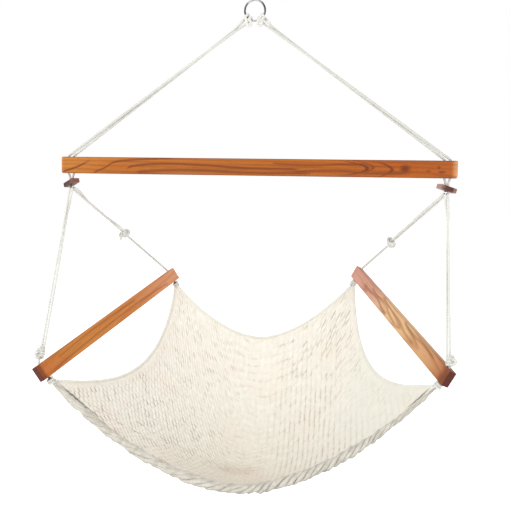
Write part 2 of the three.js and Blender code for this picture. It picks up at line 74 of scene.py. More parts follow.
# Loose ends of the knots: points along X, Y and Z from the last turn, by end and side
KNOT_END = {("front", -1): [(-3.0, -1.0, 1.0), (-5.5, -2.0, 6.0), (-4.5, -3.5, 12.5), (0.0, -4.5, 15.5)],
            ("front", 1): [(5.0, -2.0, 0.5), (9.5, -2.5, 4.5), (9.0, -3.0, 10.0), (4.5, -3.5, 12.5)],
            ("back", -1): [(0.5, -4.0, -4.0), (-2.5, -5.0, -9.0)],
            ("back", 1): [(5.0, -2.0, -2.0), (10.0, -2.0, -3.0), (14.0, -1.5, -2.0)]}
WRAP_COIL = 2 * (PITCH + GAP)
KNOT_ROPE_R, CORNER_ROPE_R, HITCH_ROPE_R, KNOT_STEP = 4.1, 3.45, 3.9, 1.2
KNOT_HALF = (KNOT_TURNS * PITCH + ROPE_D) / 2
FRONT_KNOT_RISE = {-1: 24, 1: 12}
BACK_KNOT_SHARE = {-1: 0.522, 1: 0.62}
RETURN_DROP = {"front": 2.0, "back": 4.0}
# How far a rope's second strand turns behind the first, and the power by which it comes back
RETURN_TURN = {("front", -1): (65 * DEG, 1), ("front", 1): (100 * DEG, 1), ("back", -1): (130 * DEG, 5)}
RETURN_TURN_LENGTH = 60.0
BACK_SAG, BACK_PULL, FRONT_SAG, FRONT_PULL = 149.0, 77.0, 242.0, 21.0
SIDE_SAG, SIDE_PULL, SIDE_REACH, SIDE_SKEW, PULL_SKEW = 118.0, 34.0, 23.0, 0.71, 0.59
CURVE_POWER, HOLLOW = 1.77, 35.0
BUNDLE_D, BUNDLE_END_D, BUNDLE_POWER = 24.0, 12.0, 3
SLIT_START, SLIT_W, CORD_D, CORNER_SHARE, CORNER_REACH, SIDE_START = 0.62, 14.0, 9.0, 0.98, 5.0, 0.012
SEWN_IN, SLIT_SHUT = 1.5, 0.12
SIDES = ((-1, "left"), (1, "right"))
SQUARE = ((-1, -1), (1, -1), (1, 1), (-1, 1))


def vec(x, y, z):
    return np.array([x, y, z], float)


def unit(v):
    return v / np.linalg.norm(v)


# ---- Seeded unevenness
SEED, TABLE = 7, 128
random_table = np.random.default_rng(SEED).random((TABLE, TABLE))


def rough_table(x, y):
    """Smooth random values from 0 to 1, seeded, one new value for each whole step of x or y."""
    i, j = np.floor(x).astype(int), np.floor(y).astype(int)
    fx, fy = x - i, y - j
    fx, fy = fx * fx * (3 - 2 * fx), fy * fy * (3 - 2 * fy)
    i0, i1, j0, j1 = i % TABLE, (i + 1) % TABLE, j % TABLE, (j + 1) % TABLE
    near = random_table[i0, j0] * (1 - fx) + random_table[i1, j0] * fx
    far = random_table[i0, j1] * (1 - fx) + random_table[i1, j1] * fx
    return near * (1 - fy) + far * fy


def eased(x, low, high):
    x = np.clip((x - low) / (high - low), 0, 1)
    return x * x * (3 - 2 * x)


# ---- Paths
# The least root of a distance, which is divided by, and the share of a step that a curve is drawn in
SHORTEST, FINE = 1e-4, 0.4


def smooth(points, step):
    """Points a step apart on the centripetal curve through the given ones."""
    pts = [np.asarray(p, float) for p in points]
    keep = [pts[0]]
    for p in pts[1:]:
        if np.linalg.norm(p - keep[-1]) > GAP:
            keep.append(p)
    pts = [2 * keep[0] - keep[1]] + keep + [2 * keep[-1] - keep[-2]]
    fine = []
    for i in range(1, len(pts) - 2):
        p0, p1, p2, p3 = pts[i - 1:i + 3]
        d0, d1, d2 = (max(np.linalg.norm(b - a) ** 0.5, SHORTEST) for a, b in ((p0, p1), (p1, p2), (p2, p3)))
        m1 = ((p1 - p0) / d0 - (p2 - p0) / (d0 + d1) + (p2 - p1) / d1) * d1
        m2 = ((p2 - p1) / d1 - (p3 - p1) / (d1 + d2) + (p3 - p2) / d2) * d1
        n = max(4, int(np.linalg.norm(p2 - p1) / (FINE * step)))
        for k in range(n):
            t = k / n
            fine.append((2 * t**3 - 3 * t**2 + 1) * p1 + (t**3 - 2 * t**2 + t) * m1
                        + (3 * t**2 - 2 * t**3) * p2 + (t**3 - t**2) * m2)
    fine.append(pts[-2])
    fine = np.array(fine)
    length = np.concatenate([[0], np.cumsum(np.linalg.norm(np.diff(fine, axis=0), axis=1))])
    count = max(3, int(round(length[-1] / step)))
    at = np.linspace(0, length[-1], count + 1)
    return np.stack([np.interp(at, length, fine[:, k]) for k in range(3)], 1)


def path_length(path):
    return float(np.linalg.norm(np.diff(path, axis=0), axis=1).sum())


def frames(path):
    """Tangents and two normals along a path, carried along with no twist."""
    tangent = np.gradient(path, axis=0)
    tangent /= np.linalg.norm(tangent, axis=1)[:, None]
    normal = [unit(np.cross(tangent[0], [0, 1, 0] if abs(tangent[0][1]) < 0.9 else [1, 0, 0]))]
    for along in tangent[1:]:
        normal.append(unit(normal[-1] - along * (normal[-1] @ along)))
    normal = np.array(normal)
    return tangent, normal, np.cross(tangent, normal)


# ---- Meshes
def linked(name, data):
    obj = bpy.data.objects.new(name, data)
    bpy.context.scene.collection.objects.link(obj)
    return obj


def tube_faces(rows, sides, closed=False):
    """Quads between rows of points round a tube, and from the last row to the first one if it is closed."""
    faces = []
    for i in range(rows if closed else rows - 1):
        a, b = i * sides, (i + 1) % rows * sides
        for k in range(sides):
            n = (k + 1) % sides
            faces.append((a + k, a + n, b + n, b + k))
    return faces


def set_values(obj, key, values):
    obj.data.attributes.new(key, "FLOAT", "POINT").data.foreach_set("value", values.astype(np.float32))


def make_object(name, verts, faces, material, uvs, body):
    mesh = bpy.data.meshes.new(name)
    mesh.from_pydata([tuple(v) for v in np.asarray(verts) * MM], [], faces)
    mesh.validate()
    layer = mesh.uv_layers.new(name="UVMap")
    loops = np.empty(len(mesh.loops), dtype=np.int32)
    mesh.loops.foreach_get("vertex_index", loops)
    layer.data.foreach_set("uv", np.asarray(uvs, dtype=np.float32)[loops].ravel())
    mesh.materials.append(material)
    mesh.shade_smooth()
    obj = linked(name, mesh)
    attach(obj, body)
    return obj


CREASE_GAP = 0.98  # how near to the creases the outermost points of a strand come


def lobes(strands, per_strand):
    """Angles and radii, as shares, of a section of round strands laid together."""
    small = math.sin(math.pi / strands) / (1 + math.sin(math.pi / strands))
    centre = 1 - small
    angles, radii = [], []
    half = math.pi / strands
    for s in range(strands):
        for k in range(per_strand):
            a = half * (2 * (k + 0.5) / per_strand - 1)
            a = half * math.sin(a / half * math.pi / 2 * CREASE_GAP)
            inside = max(small**2 - (centre * math.sin(a))**2, 0)
            angles.append(TAU * s / strands + a)
            radii.append(centre * math.cos(a) + math.sqrt(inside))
    return np.array(angles), np.array(radii)


def mouth_dark_attribute(obj, places, reach):
    """A share from 0 to 1 at each point that says how near it is to the bore mouths, in millimetres; the rope
    is painted darker there.
    """
    mesh = obj.data
    co = np.empty(len(mesh.vertices) * 3)
    mesh.vertices.foreach_get("co", co)
    co = co.reshape(-1, 3) / MM
    share = np.zeros(len(co))
    for place in places:
        share = np.maximum(share, np.clip(1.5 - np.linalg.norm(co - place, axis=1) / reach, 0, 1))
    set_values(obj, "stain", share)


# The rounded ends of a rope: shares of its radius, ring by ring; and the usual depth of its grooves
END_SHARES = (0.35, 0.75, 0.95)
RELIEF = 0.45


def rope(
        name, replaced, points, body, material, radius=ROPE_R, strands=3, lay=22.0, hand=1, step=2.0,
        per_strand=7, dome=(0.15, 0.15), radius_at=None, lay_at=None, dark_at=None, uneven=0.0,
        relief_at=None, phase=0.0, stains=(), stain_reach=7.0):
    """A laid rope along a path: a lobed section that turns as it goes, with rounded ends.

    lay is the length of a turn and hand its direction, and dome how far each end stands out, in radii.
    radius_at, lay_at, dark_at and relief_at take shares of the length, and give the radius, how slowly
    the rope turns, how strong the painted shade in its grooves is and how deep they are. uneven is how
    far the strands differ.
    stains are the bores that the rope runs by, near which it is painted darker as far as
    stain_reach, or None for a material without such marks. Lengths are in millimetres.
    """
    path = smooth(points, step)
    tangent, normal, side = frames(path)
    along = np.concatenate([[0], np.cumsum(np.linalg.norm(np.diff(path, axis=0), axis=1))])
    angles, shares = lobes(strands, per_strand)
    count = len(angles)
    size, depth, pace = (
        np.full(len(path), usual) if given is None else given(along / along[-1])
        for given, usual in ((radius_at, radius), (relief_at, RELIEF), (lay_at, 1.0)))
    turn = hand * TAU * np.cumsum(np.concatenate([[0], np.diff(along) / (lay * pace[1:])])) + phase
    turn = turn + 2.2 * uneven * (rough_table(along / 33, along * 0 + 17) - 0.5)
    strand = np.repeat(np.arange(strands), per_strand)
    verts, uvs, rings = [], [], []
    for i in range(len(path)):
        theta = angles + turn[i]
        reach = size[i] * (1 - depth[i] * (1 - shares))
        if uneven:
            by_strand = rough_table(strand * 5.0, along[i] / 15 + strand * 3.7)
            by_yarn = rough_table(np.arange(count) * 0.37, along[i] / 5 + np.zeros(count))
            reach = reach * (1 - uneven + 2 * uneven * by_strand) * (0.95 + 0.1 * by_yarn)
        rings.append((path[i], normal[i], side[i], theta, reach, along[i]))

    def put(ring, scale, shift):
        centre, n, b, theta, reach, s = ring
        section = np.outer(reach * np.cos(theta), n) + np.outer(reach * np.sin(theta), b)
        verts.extend(centre + shift + scale * section)
        uvs.extend([(angle / TAU, s * MM) for angle in angles])

    for grow in END_SHARES:
        put(rings[0], grow, -tangent[0] * radius * dome[0] * math.sqrt(1 - grow**2))
    for ring in rings:
        put(ring, 1, 0)
    for grow in reversed(END_SHARES):
        put(rings[-1], grow, tangent[-1] * radius * dome[1] * math.sqrt(1 - grow**2))
    total = len(rings) + 2 * len(END_SHARES)
    faces = tube_faces(total, count)
    first, last = total * count, total * count + 1
    verts.append(path[0] - tangent[0] * radius * dome[0])
    verts.append(path[-1] + tangent[-1] * radius * dome[1])
    uvs += [(0.5, 0), (0.5, along[-1] * MM)]
    tail = (total - 1) * count
    for k in range(count):
        n = (k + 1) % count
        faces.append((first, n, k))
        faces.append((last, tail + k, tail + n))
    obj = make_object(name, verts, faces, material, uvs, body)
    # how far each point lies from a groove, for the painted shade in the grooves
    crest = (shares - shares.min()) / (shares.max() - shares.min())
    crest = np.tile(crest, (total, 1))
    if dark_at is not None:
        place = np.linspace(0, along[-1], total)[:, None]
        own = 0.15 + 1.3 * rough_table(strand * 5.0 + 40, place / 17 + strand * 2.3)
        crest = 1 - (1 - crest) * np.clip(dark_at(place / along[-1]) * own, 0, 1)
    set_values(obj, "groove", np.concatenate([crest.ravel(), [0.5, 0.5]]))
    if stains is not None:
        mouth_dark_attribute(obj, stains, stain_reach)
    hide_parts(replaced)
    return obj, path


# ---- Materials
def sum_node(operation):
    """A way for a node tree to do one sum on values or sockets."""
    def method(self, a, b=0.0, c=None, clamp=False):
        node = self.add("ShaderNodeMath", operation=operation, use_clamp=clamp)
        for socket, value in zip(node.inputs, (a, b) if c is None else (a, b, c)):
            self.feed(socket, value)
        return node.outputs[0]
    return method


class Nodes:
    """A short way to build a node tree."""
    times, plus, minus, over = (sum_node(kind) for kind in ("MULTIPLY", "ADD", "SUBTRACT", "DIVIDE"))
    most, least, size, root = (sum_node(kind) for kind in ("MAXIMUM", "MINIMUM", "ABSOLUTE", "SQRT"))
    whole, fraction, nearest, sine = (sum_node(kind) for kind in ("FLOOR", "FRACT", "ROUND", "SINE"))
    fused = sum_node("MULTIPLY_ADD")

    def __init__(self, name):
        self.material = bpy.data.materials.new(name)
        self.material.use_nodes = True
        self.tree = self.material.node_tree
        self.tree.nodes.clear()
        self.out = self.add("ShaderNodeOutputMaterial")
        self.shader = self.add("ShaderNodeBsdfPrincipled")
        self.link(self.shader.outputs[0], self.out.inputs[0])

    def add(self, kind, **values):
        node = self.tree.nodes.new(kind)
        for key, value in values.items():
            setattr(node, key, value)
        return node

    def link(self, a, b):
        self.tree.links.new(a, b)

    def feed(self, socket, value):
        if isinstance(value, bpy.types.NodeSocket):
            self.link(value, socket)
        else:
            socket.default_value = value

    def feed_all(self, node, **values):
        """Feeds a node's sockets by name, with _ for a space."""
        for name, value in values.items():
            self.feed(node.inputs[name.replace("_", " ")], value)
        return node

    def place(self, kind):
        return self.add("ShaderNodeTexCoord").outputs[kind]

    def uv_map(self):
        return self.add("ShaderNodeUVMap").outputs[0]

    def attribute(self, name):
        node = self.add("ShaderNodeAttribute", attribute_name=name, attribute_type="GEOMETRY")
        return node.outputs["Fac"]

    def noise(self, vector, scale, detail=3.0, rough=0.55):
        node = self.add("ShaderNodeTexNoise")
        self.feed_all(node, Vector=vector, Scale=scale, Detail=detail, Roughness=rough)
        return node.outputs["Fac"]

    def mapped(self, vector, scale, location=(0, 0, 0)):
        node = self.add("ShaderNodeMapping")
        return self.feed_all(node, Vector=vector, Scale=scale, Location=location).outputs[0]

    def step(self, value, low, high, to_low=0.0, to_high=1.0):
        """Eases from one value to another as the input goes from low to high."""
        node = self.add("ShaderNodeMapRange", interpolation_type="SMOOTHSTEP")
        self.feed_all(node, Value=value, From_Min=low, From_Max=high, To_Min=to_low, To_Max=to_high)
        return node.outputs[0]

    def mix(self, factor, a, b, blend="MIX"):
        node = self.add("ShaderNodeMix", data_type="RGBA", blend_type=blend)
        for key, value in (("Factor", factor), (6, a), (7, b)):
            self.feed(node.inputs[key], value)
        return node.outputs[2]

    def ramp(self, factor, stops):
        node = self.add("ShaderNodeValToRGB")
        self.link(factor, node.inputs[0])
        elements = node.color_ramp.elements
        while len(elements) < len(stops):
            elements.new(0.5)
        for element, (place, colour) in zip(elements, stops):
            element.position = place
            element.color = colour
        return node.outputs[0]

    def bump(self, height, distance, strength):
        node = self.add("ShaderNodeBump")
        return self.feed_all(node, Distance=distance, Strength=strength, Height=height).outputs[0]

    def length(self, a, b):
        return self.root(self.plus(self.times(a, a), self.times(b, b)))

    def split(self, vector):
        node = self.add("ShaderNodeSeparateXYZ")
        self.link(vector, node.inputs[0])
        return node.outputs

    def finish(self, colour, roughness, **sockets):
        self.feed_all(self.shader, Base_Color=colour, Roughness=roughness, **sockets)
        return self.material


def srgb(r, g, b):
    """A colour from 0-255 values as the eye sees them."""
    def part(c):
        c /= 255
        return c / 12.92 if c <= 0.04045 else ((c + 0.055) / 1.055) ** 2.4
    return (part(r), part(g), part(b), 1)


GROOVE_SHADE_TONE, UNDER_SHADE_TONE, MOUTH_DARK_TONE = srgb(120, 112, 98), srgb(132, 126, 116), srgb(104, 78, 62)


def cotton(
        name, light, shade, yarns=9, slant=120, hollow=0.6, mouth_darkened=True, under=0.0, crease_tone=0.95,
        fuzzy=0.35):
    """Soft-laid cotton: fine yarns that slant across each strand, with small uneven places.

    yarns is how many lie round the rope, and slant how many are passed along a metre of it. hollow is
    the strength of the painted shade in the grooves between the strands, under that of the painted shade
    on the rope's lower side, crease_tone how light the painted shade leaves the creases between the
    yarns, and fuzzy the strength of the relief.
    """
    n = Nodes(name)
    uv = n.uv_map()
    u, v, _ = n.split(uv)
    across = n.times(u, yarns * TAU)
    along = n.times(v, slant * TAU)
    line = n.sine(n.plus(across, along))
    position = n.place("Object")
    fine = n.noise(position, 1400, 3)
    soft = n.noise(position, 60, 3)
    fuzz = n.noise(position, 420, 4, 0.7)
    tone = n.plus(n.times(soft, 0.6), n.times(fuzz, 0.4))
    colour = n.mix(n.step(tone, 0.35, 0.62), shade, light)
    # painted shade in the creases between the yarns
    crease = n.step(line, -1.0, -0.2, crease_tone, 1.0)
    colour = n.mix(1.0, colour, crease, "MULTIPLY")
    # painted shade in the grooves between the strands
    crest = n.attribute("groove")
    colour = n.mix(n.step(crest, 0.0, 0.6, hollow, 0.0), colour, GROOVE_SHADE_TONE)
    # painted shade on the lower side, by how far the surface faces down
    if under:
        facing = n.split(n.place("Normal"))[2]
        colour = n.mix(n.step(facing, -1.0, 0.3, under, 0.0), colour, UNDER_SHADE_TONE)
    # darker in patches where the rope leaves a bore
    if mouth_darkened:
        stain = n.attribute("stain")
        patch = n.times(stain, n.step(fuzz, 0.2, 0.5, 0.75, 1.0), clamp=True)
        colour = n.mix(patch, colour, MOUTH_DARK_TONE)
    height = n.plus(n.times(line, 0.5), n.times(fine, 0.8))
    normal = n.bump(height, 0.00035, fuzzy)
    return n.finish(colour, n.step(fuzz, 0.2, 0.8, 0.82, 0.95), Normal=normal, Sheen_Weight=0.25,
                    Sheen_Roughness=0.5, Specular_IOR_Level=0.25)


def timber(
        name, size, tones, vein, dark_end, rings, end_tone=None, lines=(), arches=(), spots=(), veined=0.45,
        patch=0.5, soaked=(0.014, 0.8), dark_edges=0.3, other_end=None):
    """Oiled board along X: growth rings cut lengthwise, drawn veins, fine pores, darker edges and end grain.

    size is length, thickness and height, and tones are colours at shares of the length. rings is how far
    the pith lies out from the face, its shift up it, its tilt along the board, the rings a metre and a
    seed. lines, arches and spots are veins, in shares of the length and the height from the left bottom
    corner. veined, patch and dark_edges are the strengths of the rings, the cloudy places and the long
    edges painted darker. soaked is how far the oil goes in at the right end, in metres, and its strength.
    end_tone colours the end grain, and other_end that of the left end.
    """
    n = Nodes(name)
    half = [s / 2 * MM for s in size]
    pith, shift, tilt, ring_scale, seed = rings
    position = n.place("Object")
    x, y, z = n.split(position)
    offset = (seed, seed * 0.7, seed * 0.4)
    low = n.noise(n.mapped(position, (2.2, 9, 9), offset), 1.0, 2, 0.5)
    mid = n.noise(n.mapped(position, (9, 45, 45), offset), 1.0, 3, 0.55)
    fibre = n.noise(n.mapped(position, (14, 900, 620), offset), 1.0, 4, 0.6)
    pore = n.step(n.noise(n.mapped(position, (38, 1700, 1500), offset), 1.0, 2, 0.5), 0.64, 0.74)
    # growth rings round a pith line beside the board
    ry = n.plus(n.plus(y, n.times(x, tilt)), n.fused(low, 0.030, pith))
    rz = n.plus(z, n.fused(mid, 0.006, shift))
    radius = n.length(ry, rz)
    phase = n.fraction(n.times(radius, ring_scale))
    ring = n.most(n.step(phase, 0.45, 0.97), n.step(phase, 0.0, 0.15, 1.0, 0.0))
    along = n.fused(x, 0.5 / half[0], 0.5)
    high = n.fused(z, 0.5 / half[2], 0.5)
    base = n.ramp(along, [(share, srgb(*tone)) for share, *tone in tones])
    colour = n.mix(n.step(low, 0.32, 0.70, 0.0, patch), base, n.mix(0.5, base, vein))
    colour = n.mix(n.times(ring, n.step(mid, 0.25, 0.7, veined * 0.3, veined)), colour, vein)
    colour = n.mix(n.step(fibre, 0.5, 0.78, 0.0, 0.30), colour, vein)
    colour = n.mix(n.times(pore, 0.5), colour, dark_end)
    marks = []
    wobble = n.fused(mid, 0.10, -0.05)
    for points, width, strength in lines:
        curve = n.add("ShaderNodeFloatCurve")
        n.link(along, curve.inputs["Value"])
        track = curve.mapping.curves[0]
        track.points[0].location = points[0]
        track.points[1].location = points[-1]
        for point in points[1:-1]:
            track.points.new(*point)
        curve.mapping.update()
        away = n.size(n.plus(n.minus(high, curve.outputs[0]), wobble))
        soft = n.step(away, width * 0.15, width, strength, 0.0)
        window = n.times(n.step(along, points[0][0] - 0.004, points[0][0] + 0.012),
                         n.step(along, points[-1][0] - 0.03, points[-1][0], 1.0, 0.0))
        marks.append(n.times(soft, window))
    for apex, level, bend, width, strength, reach in arches:
        off = n.minus(high, level)
        bow = n.plus(n.minus(along, apex), n.times(n.times(off, off), bend))
        bow = n.size(n.fused(wobble, 0.12, bow))
        marks.append(n.times(n.step(bow, width * 0.15, width, strength, 0.0),
                             n.step(n.size(off), reach * 0.6, reach, 1.0, 0.0)))
    for place_x, place_z, size_x, size_z, strength in spots:
        dx = n.over(n.minus(along, place_x), size_x)
        dz = n.over(n.minus(high, place_z), size_z)
        away = n.plus(n.length(dx, dz), n.times(wobble, 5.0))
        marks.append(n.step(away, 0.2, 1.0, strength, 0.0))
    if marks:
        colour = n.mix(reduce(n.most, marks), colour, n.mix(0.55, vein, dark_end))
    # the rounded long edges, top and bottom, painted darker: painted shade at the lower edge, and the same
    # darkening at the upper one
    ay = n.over(n.size(y), half[1])
    az = n.over(n.size(z), half[2])
    edge = n.times(n.step(az, 0.88, 0.99), n.step(ay, 0.3, 0.8))
    colour = n.mix(n.times(edge, dark_edges), colour, dark_end)
    # end grain, and the board drunk dark with oil just before it
    facing = n.split(n.place("Normal"))
    end_face = n.step(n.size(facing[0]), 0.55, 0.9)
    near_end = n.step(x, half[0] - soaked[0], half[0] - soaked[0] * 0.3)
    soak = n.times(near_end, n.step(fibre, 0.3, 0.6, 0.7, 1.0))
    end_colour = dark_end if end_tone is None else end_tone
    if other_end:
        end_colour = n.mix(n.step(x, -0.1, 0.1), other_end, end_colour)
    wet = n.mix(n.step(mid, 0.3, 0.65, 0.0, 0.45), end_colour, vein)
    colour = n.mix(n.times(soak, soaked[1]), colour, wet)
    end_rings = n.step(phase, 0.45, 0.9, 0.0, 0.5)
    colour = n.mix(end_face, colour, n.mix(end_rings, end_colour, n.mix(0.4, end_colour, (0, 0, 0, 1))))
    rough = n.plus(n.step(fibre, 0.3, 0.8, 0.38, 0.55), n.times(end_face, 0.2), clamp=True)
    height = n.minus(n.times(fibre, 0.5), n.plus(pore, n.times(ring, 0.25)))
    normal = n.bump(height, 0.00025, 0.55)
    return n.finish(colour, rough, Normal=normal, Coat_Weight=0.05, Coat_Roughness=0.4, Specular_IOR_Level=0.2)


def polished_steel(name):
    n = Nodes(name)
    position = n.place("Object")
    streak = n.noise(n.mapped(position, (180, 180, 180)), 1.0, 4, 0.6)
    spots = n.step(n.noise(position, 900, 2), 0.62, 0.72)
    colour = n.mix(n.step(streak, 0.3, 0.7), srgb(150, 150, 154), srgb(200, 200, 204))
    # painted reflection: the sides painted dark, so that the top and bottom stand bright
    x, _, z = n.split(position)
    aside = n.step(n.size(x), 0.5 * RING_R * MM, 0.85 * RING_R * MM)
    colour = n.mix(n.times(aside, 0.85), colour, srgb(66, 66, 72))
    colour = n.mix(n.times(spots, 0.35), colour, srgb(80, 76, 74))
    rough = n.plus(n.step(streak, 0.25, 0.75, 0.10, 0.22), n.times(spots, 0.2))
    return n.finish(colour, rough, Normal=n.bump(streak, 0.00008, 0.4), Metallic=1.0)


# the same cotton rope in lit and shaded copies: lighter for the front ropes, darker for the legs, and with
# deeper painted shade in the grooves of the back ropes
cotton_rope = cotton("cotton_rope", srgb(217, 217, 212), srgb(209, 209, 203), hollow=0.05)
cotton_front = cotton("cotton_front", srgb(226, 226, 221), srgb(219, 219, 213), hollow=0.04)
cotton_leg = cotton("cotton_leg", srgb(209, 209, 203), srgb(199, 199, 192), hollow=0.08)
cotton_back = cotton("cotton_back", srgb(218, 218, 213), srgb(210, 210, 204), hollow=0.8)
cotton_edge = cotton("cotton_edge", srgb(236, 235, 226), srgb(228, 227, 217), hollow=0.06)
# the front bundle: tones set darker as painted shade, with painted shade on its lower side and in its grooves
cotton_bundle = cotton(
    "cotton_bundle", srgb(213, 209, 198), srgb(189, 184, 172), yarns=26, slant=60, hollow=0.9, mouth_darkened=False,
    under=0.62, crease_tone=0.82, fuzzy=0.8)
steel = polished_steel("polished_steel")
BAR_SIZE, ARM_SIZE, BLOCK_SIZE = (BAR_L, BAR_T, BAR_H), (ARM_L, ARM_T, ARM_H), (TOG_L, TOG_W, TOG_H)
RED_END, BLOCK_END = srgb(88, 38, 22), srgb(60, 32, 24)
bar_wood = timber(
    "bar_wood", BAR_SIZE,
    [(0.0, 216, 152, 108), (0.006, 184, 116, 44), (0.15, 174, 100, 30), (0.45, 166, 94, 28),
     (0.7, 169, 92, 24), (0.9, 166, 85, 18), (0.985, 170, 90, 30), (0.993, 206, 146, 98), (1.0, 220, 168, 126)],
    srgb(108, 44, 14), RED_END, (0.035, 0.03, 0.02, 130, 0.2),
    end_tone=srgb(214, 148, 88), soaked=(0.002, 0.3), dark_edges=0.7,
    lines=[([(0.0, 0.07), (0.044, 0.40), (0.085, 0.92)], 0.10, 0.8),
           ([(0.085, 0.04), (0.12, 0.37), (0.16, 0.78), (0.31, 1.0)], 0.10, 0.7),
           ([(0.175, 0.20), (0.26, 0.63), (0.362, 0.58), (0.496, 0.45), (0.63, 0.42)], 0.11, 0.75),
           ([(0.20, 0.12), (0.35, 0.27), (0.5, 0.16), (0.66, 0.20)], 0.14, 0.6),
           ([(0.55, 0.75), (0.66, 0.66), (0.75, 0.74), (0.80, 0.70)], 0.10, 0.6),
           ([(0.60, 0.25), (0.70, 0.34), (0.80, 0.22), (0.90, 0.30)], 0.14, 0.6)],
    arches=[(0.786, 0.50, 0.35, 0.009, 0.9, 0.5), (0.800, 0.55, 0.30, 0.007, 0.6, 0.5),
            (0.846, 0.45, 0.20, 0.008, 0.8, 0.5)],
    spots=[(0.875, 0.50, 0.020, 0.34, 0.9), (0.93, 0.40, 0.010, 0.12, 0.5), (0.955, 0.60, 0.006, 0.14, 0.6),
           (0.962, 0.34, 0.014, 0.12, 0.7)])
arm_wood = {
    -1: timber(
        "left_arm_wood", ARM_SIZE,
        [(0.0, 219, 156, 118), (0.4, 206, 130, 66), (0.8, 199, 128, 58), (1.0, 192, 112, 52)],
        srgb(146, 76, 36), RED_END, (0.03, 0.02, 0.03, 110, 0.5),
        veined=0.3, patch=0.35, soaked=(0.018, 0.95), other_end=srgb(160, 98, 74),
        lines=[([(0.10, 0.25), (0.4, 0.42), (0.75, 0.30), (0.95, 0.15)], 0.12, 0.4),
               ([(0.35, 0.70), (0.6, 0.80), (0.9, 0.62)], 0.10, 0.4)]),
    1: timber(
        "right_arm_wood", ARM_SIZE,
        [(0.0, 220, 164, 150), (0.25, 214, 162, 138), (0.45, 230, 189, 142), (0.65, 226, 185, 136),
         (0.85, 202, 154, 108), (1.0, 168, 98, 60)],
        srgb(150, 88, 50), srgb(84, 34, 22), (0.02, 0.004, 0.055, 170, 0.9),
        veined=0.6, patch=0.6, soaked=(0.034, 0.97), other_end=srgb(160, 98, 80),
        lines=[([(0.16, 0.62), (0.22, 0.44), (0.30, 0.52), (0.38, 0.30), (0.46, 0.12)], 0.16, 0.55),
               ([(0.24, 0.88), (0.31, 0.66), (0.38, 0.74), (0.46, 0.44), (0.56, 0.20)], 0.14, 0.5),
               ([(0.36, 0.96), (0.46, 0.74), (0.56, 0.66), (0.64, 0.40), (0.74, 0.30)], 0.14, 0.45),
               ([(0.60, 0.92), (0.70, 0.78), (0.80, 0.84), (0.90, 0.60)], 0.16, 0.45)])}
block_wood = {
    -1: timber(
        "left_block_wood", BLOCK_SIZE, [(0.0, 70, 40, 32), (0.5, 82, 48, 40), (1.0, 104, 66, 56)],
        srgb(52, 30, 26), BLOCK_END, (0.03, 0.02, 0.05, 330, 1.3), end_tone=srgb(128, 84, 74)),
    # the right block: its light end tone and the lighter tone at its left end are a painted highlight on its
    # end
    1: timber(
        "right_block_wood", BLOCK_SIZE, [(0.0, 158, 122, 114), (0.3, 92, 50, 42), (1.0, 74, 38, 32)],
        srgb(50, 28, 24), BLOCK_END, (0.03, 0.01, 0.05, 330, 1.7), end_tone=srgb(176, 138, 130))}


# ---- Camera
CAMERA_AT = (0.2491, -1.7521, -0.4703)
YAW, PITCH_DOWN, ROLL, FOCAL_PX, PHOTO_W = -7.76 * DEG, -5.331 * DEG, 0.965 * DEG, 688.4, 510
level = Vector((math.cos(YAW), -math.sin(YAW), 0))
forward = Vector((math.sin(YAW), math.cos(YAW), 0)) * math.cos(PITCH_DOWN)
forward.z = math.sin(PITCH_DOWN)
lifted = level.cross(forward)
right = level * math.cos(ROLL) + lifted * math.sin(ROLL)
up = -level * math.sin(ROLL) + lifted * math.cos(ROLL)
camera_data = bpy.data.cameras.new("camera")
camera_data.sensor_width = 36
camera_data.sensor_fit = "HORIZONTAL"
camera_data.lens = FOCAL_PX / PHOTO_W * camera_data.sensor_width
camera_data.clip_end = 50
camera = linked("camera", camera_data)
camera.matrix_world = Matrix((
    (right.x, up.x, -forward.x, CAMERA_AT[0]),
    (right.y, up.y, -forward.y, CAMERA_AT[1]),
    (right.z, up.z, -forward.z, CAMERA_AT[2]),
    (0, 0, 0, 1)))
bpy.context.scene.camera = camera


# ---- The seat's own place: points measured from the bar's middle
def hang(p):
    p = np.asarray(p, float)
    c, s = math.cos(SEAT_ROLL), math.sin(SEAT_ROLL)
    x, y, z = p[..., 0], p[..., 1], p[..., 2]
    return np.stack([c * x + s * z + SEAT_SHIFT, y, -s * x + c * z + BAR_Z], -1)


def unhang(p):
    c, s = math.cos(SEAT_ROLL), math.sin(SEAT_ROLL)
    x, y, z = p[0] - SEAT_SHIFT, p[1], p[2] - BAR_Z
    return vec(c * x - s * z, y, s * x + c * z)


def mirrored(side, p):
    return np.asarray(p, float) * np.array([side, 1, 1])


ARM_RUN = math.sqrt(ARM_L**2 - (ARM_FRONT_X - ARM_BACK_X)**2 - ARM_RISE**2)
ARM_FRONT = vec(ARM_FRONT_X, -ARM_REACH, -ARM_DROP)
ARM_BACK = vec(ARM_BACK_X, ARM_RUN - ARM_REACH, ARM_RISE - ARM_DROP)


def arm_axes(side):
    front, back = mirrored(side, ARM_FRONT), mirrored(side, ARM_BACK)
    along = unit(front - back)
    inward = -side * unit(np.cross([0, 0, 1], along))
    upward = -side * unit(np.cross(along, inward))
    return front, back, along, upward * math.cos(ARM_ROLL) - inward * math.sin(ARM_ROLL)


def along_bore(side, end, rise):
    front, back, along, height = arm_axes(side)
    middle = front - along * ARM_INSET if end == "front" else back + along * ARM_INSET
    return middle + height * rise


CORNER_RISE = -(ARM_H / 2 + ROCK_GAP + KNOT_HALF)


def corner(side, end):
    return along_bore(side, end, CORNER_RISE)


# ---- Hanging ring
# The wire's worn share, and how much the weld narrows it, where and over what part of the ring
RING_WORN, WELD_PINCH, WELD_ANGLE, WELD_WIDTH = 1 - 0.012, 0.06, 1.15 * math.pi, 0.035


